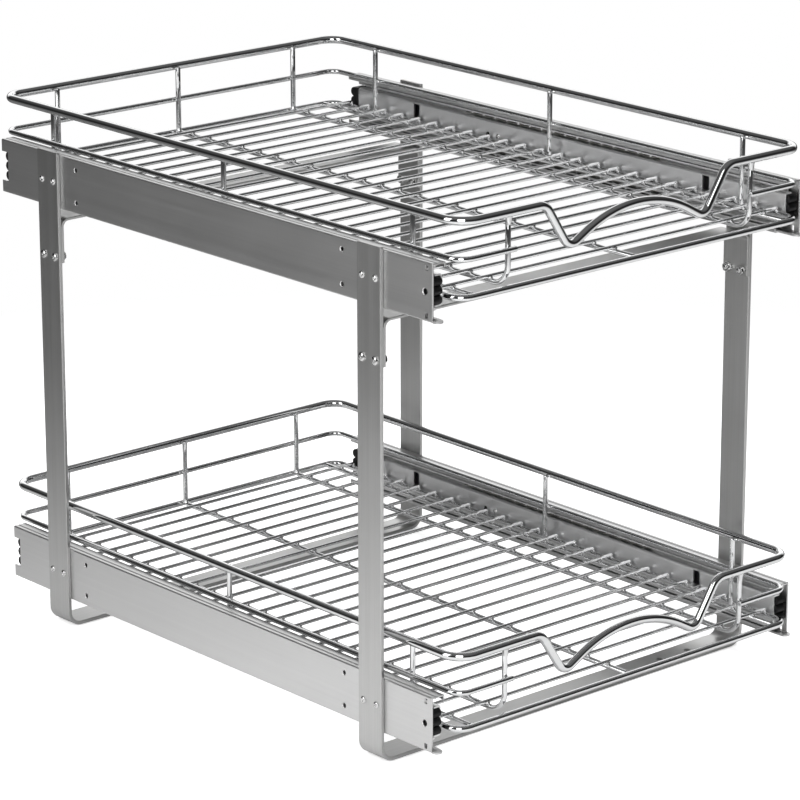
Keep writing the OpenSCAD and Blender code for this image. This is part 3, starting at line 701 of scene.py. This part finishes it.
def nut(bm, seat, out, flats=7.0, height=3.2, bore=2.05, per=6):
    """Hexagon nut with chamfered corners and an open bore."""
    first = out.orthogonal().normalized()
    second = out.cross(first)
    corner_r = flats / 2 / math.cos(math.pi / 6)

    def hexagon(lift, limit):
        points = []
        for k in range(6 * per):
            a = 2 * math.pi * k / (6 * per)
            off = (a + math.pi / 6) % (math.pi / 3) - math.pi / 6
            r = min(flats / 2 / math.cos(off), limit)
            points.append((r * math.cos(a), r * math.sin(a)))
        return ring_of(bm, seat + out * lift, first, second, points)

    def bore_ring(lift, r):
        return ring_of(bm, seat + out * lift, first, second, circle_outline(r, 6 * per))

    rows = [
        bore_ring(0.02, bore), hexagon(0.02, flats / 2 - 0.1), hexagon(0.45, corner_r),
        hexagon(height - 0.5, corner_r), hexagon(height, flats / 2 - 0.2),
        bore_ring(height, bore + 0.25), bore_ring(height - 0.3, bore),
    ]
    skin_all(bm, rows + rows[:1], capped=False)


def dress_fasteners():
    """Rivets of the slides, and the bolts and nuts of the cross bars."""
    rivets, bolts, nuts = bmesh.new(), bmesh.new(), bmesh.new()
    rivet_head = [(-0.2, 2.75), (0.15, 2.75), (0.55, 2.6), (0.95, 2.15), (1.2, 1.5), (1.3, 1.15),
                  (1.12, 0.95), (0.85, 0.7), (0.75, 0.35)]
    bolt_head = [(-0.2, 3.3), (0.5, 3.3), (1.1, 3.05), (1.55, 2.4), (1.8, 1.5), (1.8, 1.1),
                 (1.2, 0.95), (0.9, 0.5)]
    shank = [(-3.2, 2.0), (-0.1, 2.0), (1.0, 2.0), (3.4, 2.0), (4.0, 1.9), (4.2, 1.5)]
    for sign in (-1, 1):
        out = Vector((sign, 0, 0))
        for leg_y in LEG_YS:
            for y in (leg_y + (STRAP_W - PAIR_PITCH) / 2, leg_y + (STRAP_W + PAIR_PITCH) / 2):
                face = Vector((sign * (FRAME_W / 2 + STRAP_T), y, 0))
                for base_z in TIERS.values():
                    turned(rivets, rivet_head, face + Vector((0, 0, base_z + MID_H)), out)
                turned(bolts, bolt_head, face + Vector((0, 0, BOLT_Z)), out)
                seat = Vector((sign * (FRAME_W / 2 - BAR_T), y, BOLT_Z))
                turned(bolts, shank, seat, -out, sides=24)
                nut(nuts, seat, -out)
    for look, node, bm in (("headed", "rail_rivets", rivets), ("headed", "cross_bar_bolts", bolts),
                           ("chamfered", "cross_bar_nuts", nuts)):
        finish_mesh(f"{look}_{node}", bm, FASTENER, "frame", [node])


# -------------------------------------- slides


def outer_spine():
    """Middle line of the outer member's sheet: lip, grooved flange, web, grooved flange, lip."""
    m = OUTER_T / 2
    edge, top = SLIDE_T - m, MID_H - m
    groove = [(s, top - drop) for s, drop in zip(GROOVE_SS, (0, GROOVE_DEPTH, 0))]
    upper = [(edge, top - OUTER_LIP + m), (edge, top - FLANGE_FALL), (FLANGE_BEND_S, top)]
    upper += groove + [(m, top)]
    corners = [(s, 0, h) for s, h in upper + [(s, -h) for s, h in reversed(upper)]]
    bends = [0.5, 3.0, 0.6, 0.5, 0.6, 0.35]
    return bent_path(corners, bends + bends[::-1], step=12, support=0.15)


def across_punch(bm, place, s1, y, h, d, lead):
    """Cutter for a round hole through a web, with a lead-in at the slide's outer face."""
    a, b = Vector(place(PUNCH_START, y, h)), Vector(place(s1, y, h))
    profile = [(0, d / 2 + lead), (-PUNCH_START, d / 2 + lead), (lead - PUNCH_START, d / 2),
               ((b - a).length, d / 2)]
    turned(bm, profile, a, b - a, sides=32)


def block_punch(bm, place, low, high):
    """Cutter for a square-cut opening, from corner (s, y, h) to corner (s, y, h)."""
    sides = ((low[1], low[2]), (high[1], low[2]), (high[1], high[2]), (low[1], high[2]))
    skin_all(bm, [[put(bm, place(s, y, h)) for y, h in sides] for s in (low[0], high[0])])


def dress_outer_rail(tier, side):
    """Outer member, roll-formed, with its holes, end slots, rear notch and front tab."""
    node = f"{tier}_{side}_outer_rail"
    place = on_side(side, TIERS[tier] + MID_H)
    bm = bmesh.new()
    roll_section(bm, outer_spine(), OUTER_T, SLIDE_Y0, SLIDE_Y1, place)
    cutters = bmesh.new()
    through = OUTER_T + PUNCH_PAST
    across_punch(cutters, place, through, END_HOLE_Y, 0, END_HOLE_D, END_HOLE_LEAD)
    for k in (-1, 1):
        for y in HOLE_YS:
            across_punch(cutters, place, through, y, k * HOLE_SPREAD / 2, HOLE_D, HOLE_LEAD)
        low = k * (MID_H - END_SLOT_INSET) - END_SLOT_H / 2
        block_punch(cutters, place, (PUNCH_START, END_HOLE_Y - END_SLOT_LEN, low),
                    (through, END_HOLE_Y, low + END_SLOT_H))
    block_punch(cutters, place, (PUNCH_START, SLIDE_Y1 - NOTCH_D, -NOTCH_H / 2),
                (OUTER_T + 0.4, SLIDE_Y1 + 1, NOTCH_H / 2))
    block_punch(cutters, place, (TAB_W + 0.1, SLIDE_Y0 - 1, -MID_H - 1),
                (SLIDE_T + 1, SLIDE_Y0 + LIP_CUT_LEN, -MID_H + OUTER_LIP + 1))
    bm = punch(node, bm, cutters)
    r, root_y = TAB_W / 2, SLIDE_Y0 + TAB_ROOT
    tab = [(root_y, 1.2)]
    tab += [(SLIDE_Y0 + r - TAB_LEN - r * math.sin(a), r - r * math.cos(a) + 0.001)
            for a in HALF_TURN]
    tab.append((root_y, TAB_W - 0.2))
    skin_all(bm, [[put(bm, place(s, y, h)) for y, s in tab]
                  for h in (-MID_H + 0.02, -MID_H + OUTER_T - 0.05)])
    finish_mesh("rolled_" + node, bm, RAIL, "frame", [node])


def dress_inner_member(tier, side):
    """Inner member with its lanced windows and tongues."""
    node = f"{tier}_{side}_inner_member"
    place = on_side(side, TIERS[tier] + MID_H)
    m = INNER_T / 2
    web, top = INNER_FACE_S - m, INNER_HALF - m
    corners = [(INNER_S0, 0, top), (web, 0, top), (web, 0, -top), (INNER_S0, 0, -top)]
    spine = bent_path(corners, [INNER_BEND_R] * 2, step=12, support=0.15)
    bm = bmesh.new()
    roll_section(bm, spine, INNER_T, INNER_Y0, INNER_Y1, place)
    cutters = bmesh.new()
    tongue_h = FLOOR_Z + SEAT - MID_H
    behind = web - m - PUNCH_PAST
    for y in TONGUE_YS:
        block_punch(cutters, place, (behind, y - WINDOW_W / 2, tongue_h),
                    (INNER_FACE_S + 1, y + WINDOW_W / 2, tongue_h + WINDOW_H))
    eye_y = MEMBER_RIVET_Y + MEMBER_EYE_STEP
    a, b = (Vector(place(s, eye_y, 0)) for s in (behind, INNER_FACE_S + 1))
    turned(cutters, [(0, MEMBER_EYE_D / 2), ((b - a).length, MEMBER_EYE_D / 2)], a, b - a, sides=32)
    bm = punch(node, bm, cutters)
    tongue_end = INNER_FACE_S + SEAT + RING_D + TONGUE_PAST
    for y in TONGUE_YS:
        outline = [(tongue_end - WINDOW_W / 2 * (1 - math.sin(a)), y - WINDOW_W / 2 * math.cos(a))
                   for a in HALF_TURN]
        rows = []
        for lift, inset in ((0, -0.25), (0.25, 0), (TONGUE_T - 0.25, 0), (TONGUE_T, -0.25)):
            row = [(web, y - WINDOW_W / 2)] + [(s + inset, q) for s, q in outline]
            row.append((web, y + WINDOW_W / 2))
            rows.append([put(bm, place(s, q, tongue_h + lift)) for s, q in row])
        skin_all(bm, rows)
    finish_mesh("rolled_" + node, bm, MEMBER, f"{tier}_basket", [node])


def dress_member_rivets(tier):
    """Rivets on the inner faces of a tier's inner members."""
    bm = bmesh.new()
    head = [(-0.1, 2.0), (0.35, 2.0), (0.7, 1.75), (0.92, 1.2), (1.0, 0.6)]
    for side, sign in SIDES.items():
        face = on_side(side, TIERS[tier] + MID_H)(INNER_FACE_S, MEMBER_RIVET_Y, 0)
        turned(bm, head, face, (-sign, 0, 0))
    node = f"{tier}_member_rivets"
    finish_mesh("headed_" + node, bm, FASTENER, f"{tier}_basket", [node])


def lobed_outline(y_back, y_face, half, sign, corner=0.3):
    """Anticlockwise outline (y, h) of a bumper: flat back, three soft lobes on sign's side."""
    r = half / 3
    points = [(y_back, -half + corner), (y_back + sign * corner, -half)]
    for k in (-1, 0, 1):
        for j in range(13):
            a = math.radians(-78 + 156 * j / 12)
            lobe_y = STOP_LOBE - r + r * math.cos(a)
            points.append((y_face + sign * lobe_y, k * 2 * r + r * math.sin(a)))
    points += [(y_back + sign * corner, half), (y_back, half - corner)]
    return points if sign > 0 else points[::-1]


def dress_bumpers(tier):
    """Moulded bumpers in the front ends of the inner and the rear ends of the outer members."""
    front, rear = bmesh.new(), bmesh.new()
    h = INNER_HALF - INNER_T - 0.1
    inner_s = INNER_FACE_S - INNER_T
    y0, y1 = INNER_Y0 + 1, INNER_Y0 + 1 + STOP_PLUG
    plug_outline = [(y0, -h), (y1 - 1, -h), (y1, -h + 1), (y1, h - 1), (y1 - 1, h), (y0, h)]
    head_outline = lobed_outline(INNER_Y0 + STOP_T, INNER_Y0, h, -1)
    rear_outline = lobed_outline(REAR_STOP_Y, REAR_STOP_Y + REAR_STOP_T, NOTCH_H / 2 - 0.1, 1)
    for side in SIDES:
        place = on_side(side, TIERS[tier] + MID_H)
        for bm, outline, s0, s1, edge in (
            (front, head_outline, OUTER_T + 0.4, inner_s - 0.1, 0.6),
            (front, plug_outline, INNER_S0 + 0.1, inner_s - 0.12, 0.3),
            (rear, rear_outline, OUTER_T + 0.1, SLIDE_T - 0.1, 0.4),
        ):
            prism(bm, outline, s0, s1, place, edge)
    for bm, end, body in ((front, "front", f"{tier}_basket"), (rear, "rear", "frame")):
        node = f"{tier}_{end}_bumpers"
        finish_mesh("moulded_" + node, bm, BUMPER, body, [node])


# -------------------------------------- basket wires


def handle_corners():
    """Corner points (x, h) of the rim's front from left to right, and the grip's bend radius."""
    fall = HANDLE_SPAN / 2 * math.sin(CROWN_SLOPE) - HANDLE_CROWN * math.cos(CROWN_SLOPE)
    crown_round = fall / (1 - math.cos(CROWN_SLOPE))
    turn, lean = (DIP_SLOPE + CROWN_SLOPE) / 2, (DIP_SLOPE - CROWN_SLOPE) / 2
    corner_dist = DIP_R / math.cos(turn)
    dip_x = HANDLE_SPAN / 2 + corner_dist * math.sin(lean)
    dip_h = RIM_Z - HANDLE_DIP + DIP_R - corner_dist * math.cos(lean)
    top_h = dip_h + dip_x * math.tan(CROWN_SLOPE)
    shoulder_x = dip_x + (RIM_Z - dip_h) / math.tan(DIP_SLOPE)
    right = [(dip_x, dip_h), (shoulder_x, RIM_Z)]
    left = [(-x, h) for x, h in reversed(right)]
    return left + [(0, top_h)] + right, crown_round - DIP_R


def plated_wire(tier, name, paths, d, sides, closed=False, ends=CUT_ENDS):
    """One node's wires, all of diameter d."""
    bm = bmesh.new()
    for path in paths:
        draw_wire(bm, [Vector(p) for p in path], d, sides, closed, ends)
    node = f"{tier}_{name}"
    finish_mesh("plated_" + node, bm, CHROME, f"{tier}_basket", [node], WIRE_SHARP)


def dress_rims(tier, z):
    """Top rim with its handle, middle rim, and bottom ring."""
    front, crown_r = handle_corners()
    top = z + RIM_Z
    corners = [(-RIM_X, RIM_Y, top), (-RIM_X, -RIM_Y, top)]
    corners += [(x, -RIM_Y, z + h) for x, h in front]
    corners += [(RIM_X, -RIM_Y, top), (RIM_X, RIM_Y, top)]
    bends = [RIM_R, RIM_R, SHOULDER_R, DIP_R, crown_r, DIP_R, SHOULDER_R, RIM_R, RIM_R]
    plated_wire(tier, "top_rim", [bent_path(corners, bends, True)], RIM_D, 28, True)
    end_x, h = UPRIGHT_X - LONG_D, z + MID_Z
    corners = [(-end_x, -MID_Y, h), (-MID_X, -MID_Y, h), (-MID_X, MID_Y, h),
               (MID_X, MID_Y, h), (MID_X, -MID_Y, h), (end_x, -MID_Y, h)]
    path = bent_path(corners, [RING_R] * 4)
    plated_wire(tier, "middle_rim", [path], MID_D, 20, ends=BENT_CUT_ENDS)
    turns = ((-1, -1), (1, -1), (1, 1), (-1, 1))
    corners = [(x * RING_X, y * RING_Y, z + RING_Z) for x, y in turns]
    plated_wire(tier, "bottom_ring", [bent_path(corners, [RING_R] * 4, True)], RING_D, 22, True)


def dress_floor_wires(tier, z):
    """Cross wires, long wires with their bent-up ends, and side uprights."""
    h = z + CROSS_Z
    paths = [[(x, y, h) for x in (-RING_X, -40, 40, RING_X)] for y in CROSS_YS]
    plated_wire(tier, "cross_wires", paths, CROSS_D, 16)
    low, top = z + LONG_Z, z + RIM_Z
    for side, sign in SIDES.items():
        x = sign * UPRIGHT_X
        y = UPRIGHT_Y
        corners = [(x, -y, top), (x, -y, low), (x, y, low), (x, y, top)]
        path = bent_path(corners, [UPRIGHT_BEND_R, REAR_BEND_R])
        plated_wire(tier, f"{side}_long_wire", [path], LONG_D, 20)
    end_y = RING_Y - RING_D / 2 - SEAT
    corners = [(0, -end_y, low), (0, UPRIGHT_Y, low), (0, UPRIGHT_Y, top)]
    plated_wire(tier, "centre_long_wire", [bent_path(corners, [REAR_BEND_R])], LONG_D, 20)
    paths = [[(x, y, low) for y in (-end_y, 0, end_y)] for x in (-SIDE_WIRE_X, SIDE_WIRE_X)]
    plated_wire(tier, "side_long_wires", paths, LONG_D, 20)
    for side, sign in SIDES.items():
        x = sign * SIDE_UPRIGHT_X
        heights = (z + RING_Z, z + MID_Z, top + SIDE_UPRIGHT_RISE)
        paths = [[(x, y, h) for h in heights] for y in SIDE_UPRIGHT_YS]
        plated_wire(tier, f"{side}_uprights", paths, LONG_D, 20, ends=DOMED_TOP)


def uneven(k, spread=0.18):
    """Repeatable factor near 1 that makes every bead a little different."""
    return 1 + spread * math.sin(12.9898 * (k + 1)) * math.cos(78.233 * (k + 1))


def dress_floor_welds(tier, z):
    """Beads where the floor's wires cross and where they meet the ring. Gives their number."""
    bm = bmesh.new()
    low = z + FLOOR_Z
    count = 0
    for y in CROSS_YS:
        for x in (-SIDE_WIRE_X, -UPRIGHT_X, 0, UPRIGHT_X, SIDE_WIRE_X):
            count += 1
            f, g = uneven(count), uneven(count * 3)
            weld_bead(bm, (x + 0.5 * (f - 1), y + 0.2, low + 0.4), (2.5 * f, 2.5 * g, 1.5))
        for sign in (-1, 1):
            count += 1
            f, g = uneven(count), uneven(count * 3)
            weld_bead(bm, (sign * (RING_X - 0.3), y, low + 0.75), (1.7 * f, 2.1 * g, 1.75 * f))
    finish_mesh(f"plated_{tier}_floor_welds", bm, WELD, f"{tier}_basket")
    return count


def dress_rim_welds(tier, z, count):
    """Flare at each front upright's top and beads on the uprights, numbered on from count."""
    bm = bmesh.new()
    top, mid, ring = z + RIM_Z, z + MID_Z, z + RING_Z
    for x in (-UPRIGHT_X, UPRIGHT_X):
        weld_flare(bm, (x, -UPRIGHT_Y - 0.5, top - 10), 8.6, 1.9, 6.2, 2.5)
        weld_bead(bm, (x, -UPRIGHT_Y - 1.6, mid), (3.2, 1.6, 1.7))
        weld_bead(bm, (x, -(RING_Y - RING_D / 2 - 0.4), ring + 0.6), (2.6, 1.2, 1.3))
    for x in (-UPRIGHT_X, 0, UPRIGHT_X):
        count += 1
        weld_bead(bm, (x - 1.2, UPRIGHT_Y + 1.9, top - 0.9), (4.4 * uneven(count), 1.3, 1.25))
        weld_bead(bm, (x - 1.2, UPRIGHT_Y + 1.7, mid + 0.2), (4.0 * uneven(count + 7), 1.2, 1.2))
        weld_bead(bm, (x, UPRIGHT_Y + 1.7, ring + 0.8), (4.2, 1.5, 1.6))
    for sign in (-1, 1):
        x = sign * (SIDE_UPRIGHT_X + 1.9)
        for y in SIDE_UPRIGHT_YS:
            count += 1
            weld_bead(bm, (x, y - 1.0, top - 0.6), (1.3, 4.2 * uneven(count), 1.3))
            weld_bead(bm, (x, y - 0.6, mid), (1.2, 3.6 * uneven(count + 5), 1.3))
            weld_bead(bm, (x, y, ring + 0.4), (1.3, 2.8, 1.6))
    finish_mesh(f"plated_{tier}_rim_welds", bm, WELD, f"{tier}_basket")


# -------------------------------------- assembly

dress_floor_frame("front_floor_frame", LEG_YS[0])
dress_floor_frame("rear_floor_frame", LEG_YS[1])
dress_cross_bar("upper_front_cross_bar", LEG_YS[0])
dress_cross_bar("upper_rear_cross_bar", LEG_YS[1])
dress_fasteners()
for tier, base_z in TIERS.items():
    for side in SIDES:
        dress_outer_rail(tier, side)
        dress_inner_member(tier, side)
    dress_member_rivets(tier)
    dress_bumpers(tier)
    dress_rims(tier, base_z)
    dress_floor_wires(tier, base_z)
    dress_rim_welds(tier, base_z, dress_floor_welds(tier, base_z))

# The middle members, cages and balls keep the imported shape and take their own finish; the cages'
# dark tone is partly painted shade
for node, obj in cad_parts.items():
    for ending, finish in (("middle_member", MEMBER), ("cages", CAGE), ("balls", BALL)):
        if node.endswith(ending):
            obj.data.materials.clear()
            obj.data.materials.append(finish)

# -------------------------------------- floor, light and camera

# Floor, in metres: its size, how far it lies under the feet, and where its colour is painted
# bright, a painted pool of light
FLOOR_HALF, FLOOR_DROP = 9.0, 0.0004
# Painted pool of light, seen only by the metal: its middle, the distances over which it fades, and
# its light and dark tones
PAINTED_LIGHT_MIDDLE, PAINTED_LIGHT_FADE = (0.0, -0.8, 0.0), (0.8, 1.6)
PAINTED_LIGHT_TONE, PAINTED_DARK_TONE = 0.76, 0.16
# Shade under the object: its middle, how it is stretched to an oval, its edge and its tone
SHADE_MIDDLE, SHADE_STRETCH = (0.03, 0.0, 0.0), (5.4, 3.6, 1.0)
SHADE_EDGE, SHADE_TONE = (0.8, 1.25), 0.32
# Paper that the camera sees, which turns plain white away from the object
PAPER_TONE, PAPER_GLOW, PAPER_FADE = 0.93, 0.55, (0.5, 1.0)
# Studio ceiling: its tones, and the heights between which it brightens
CEILING_LEVEL, CEILING_HEIGHTS = (0.022, 0.14), (0.3, 0.9)
# Bright back wall: direction, tone, width, and its shares of that tone at two heights
WALL_WAY, WALL_LEVEL, WALL_WIDTH = (0.66, 0.75, 0.0), 1.25, (0.65, 0.88)
WALL_SHARES, WALL_HEIGHTS = (0.05, 1.0), (0.05, 0.18)
# Camera, solved from the photograph
CAMERA_PLACE = (-1.85977, -2.12648, 1.05449)
CAMERA_AHEAD = (0.63122, 0.71822, -0.29280)
CAMERA_RIGHT = (0.75098, -0.66032, -0.00075)
FOCAL_PX, PICTURE_PX = 3830.4, 800


def camera_only(tree, kind, others, camera):
    """Ends the tree with one shader for what the metal sees and another for the camera."""
    seen = add_node(tree, "ShaderNodeLightPath").outputs["Is Camera Ray"]
    mixed = add_node(tree, "ShaderNodeMixShader", {0: seen, 1: others, 2: camera}).outputs[0]
    add_node(tree, kind, {"Surface": mixed})


def pale_floor():
    """Pale floor. Only the metal sees its colour, which holds a painted pool of light that fades to
    dark away from the object, and a painted shade under the object.
    """
    bm = bmesh.new()
    edge = FLOOR_HALF
    corners = [(-edge, -edge), (edge, -edge), (edge, edge), (-edge, edge)]
    bm.faces.new([bm.verts.new((x, y, -FLOOR_DROP)) for x, y in corners])
    mesh = bpy.data.meshes.new("pale_floor")
    bm.to_mesh(mesh)
    bm.free()
    floor = bpy.data.objects.new("pale_floor", mesh)
    scene.collection.objects.link(floor)
    material = bpy.data.materials.new("pale_floor")
    tree = empty_tree(material)
    place = add_node(tree, "ShaderNodeTexCoord").outputs["Object"]
    # Painted pool of light: for the metal, the floor's colour is light near the middle and dark far
    # off
    far = vector(tree, "DISTANCE", place, PAINTED_LIGHT_MIDDLE, "Value")
    fade = spread_value(tree, far, 0.0, 1.0, *PAINTED_LIGHT_FADE)
    painted_light_tone = tint(tree, fade, grey(PAINTED_LIGHT_TONE), grey(PAINTED_DARK_TONE))
    # Painted shade under the object: an oval of darker colour on the floor that the metal sees
    oval = vector(tree, "MULTIPLY", vector(tree, "SUBTRACT", place, SHADE_MIDDLE), SHADE_STRETCH)
    outside = vector(tree, "LENGTH", oval, result="Value")
    outside = spread_value(tree, outside, 0.0, 1.0, *SHADE_EDGE)
    tone = tint(tree, outside, grey(SHADE_TONE), painted_light_tone)
    sheet = add_node(tree, "ShaderNodeBsdfDiffuse", {"Color": tone}).outputs[0]
    paper = add_node(tree, "ShaderNodeBsdfDiffuse", {"Color": grey(PAPER_TONE)}).outputs[0]
    glow = add_node(tree, "ShaderNodeEmission", {"Strength": PAPER_GLOW}).outputs[0]
    lit = add_node(tree, "ShaderNodeAddShader", {0: paper, 1: glow}).outputs[0]
    white = add_node(tree, "ShaderNodeEmission").outputs[0]
    away = vector(tree, "LENGTH", place, result="Value")
    away = spread_value(tree, away, 0.0, 1.0, *PAPER_FADE)
    open_floor = add_node(tree, "ShaderNodeMixShader", {0: away, 1: lit, 2: white}).outputs[0]
    camera_only(tree, "ShaderNodeOutputMaterial", sheet, open_floor)
    mesh.materials.append(material)


def studio_world():
    """Soft studio: dim walls, a brighter ceiling and back wall, white where the camera looks."""
    scene.world = bpy.data.worlds.new("studio")
    tree = empty_tree(scene.world)
    way = add_node(tree, "ShaderNodeTexCoord").outputs["Generated"]
    lift = add_node(tree, "ShaderNodeSeparateXYZ", {0: way}).outputs["Z"]
    ceiling = spread_value(tree, lift, *CEILING_LEVEL, *CEILING_HEIGHTS)
    facing = vector(tree, "DOT_PRODUCT", way, WALL_WAY, "Value")
    wall = spread_value(tree, facing, 0.0, WALL_LEVEL, *WALL_WIDTH)
    share = spread_value(tree, lift, *WALL_SHARES, *WALL_HEIGHTS)
    level = number(tree, "ADD", ceiling, number(tree, "MULTIPLY", wall, share))
    dim = add_node(tree, "ShaderNodeBackground", {"Color": level}).outputs[0]
    white = add_node(tree, "ShaderNodeBackground", {"Color": grey(1)}).outputs[0]
    camera_only(tree, "ShaderNodeOutputWorld", dim, white)


def soft_box(name, place, aim, size, watts, mirrored=True):
    """Soft box that faces the aim point. Unless mirrored, the metal doesn't reflect it."""
    data = bpy.data.lights.new(name, "AREA")
    data.shape = "RECTANGLE"
    data.size, data.size_y = size
    data.energy = watts
    lamp = bpy.data.objects.new(name, data)
    lamp.location = place
    lamp.rotation_mode = "QUATERNION"
    lamp.rotation_quaternion = (Vector(aim) - Vector(place)).to_track_quat("-Z", "Y")
    lamp.visible_camera = False
    lamp.visible_glossy = mirrored
    scene.collection.objects.link(lamp)


def photo_camera():
    """Camera at the photograph's viewing angle and distance."""
    ahead = Vector(CAMERA_AHEAD).normalized()
    right = Vector(CAMERA_RIGHT)
    right = (right - ahead * right.dot(ahead)).normalized()
    up = right.cross(ahead)
    data = bpy.data.cameras.new("photo_camera")
    data.sensor_fit = "HORIZONTAL"
    data.sensor_width = 36.0
    data.lens = FOCAL_PX / PICTURE_PX * data.sensor_width
    data.clip_start, data.clip_end = 0.05, 60
    camera = bpy.data.objects.new("photo_camera", data)
    turn = Matrix((right, up, -ahead)).transposed().to_4x4()
    camera.matrix_world = Matrix.Translation(CAMERA_PLACE) @ turn
    scene.collection.objects.link(camera)
    scene.camera = camera


pale_floor()
studio_world()
soft_box("overhead_box", (0.0, 0.1, 2.3), (0, 0, 0), (2.4, 2.4), 60, mirrored=False)
soft_box("left_box", (-1.95, 0.4, 1.15), (0, 0, 0.45), (1.0, 2.0), 18)
soft_box("front_left_box", (-1.45, -1.45, 1.15), (0, 0, 0.45), (1.0, 2.0), 16)
soft_box("floor_box", (-1.15, -1.15, 1.2), (-1.15, -1.15, 0.0), (0.7, 0.7), 6, mirrored=False)
photo_camera()
scene.view_settings.view_transform = "Standard"
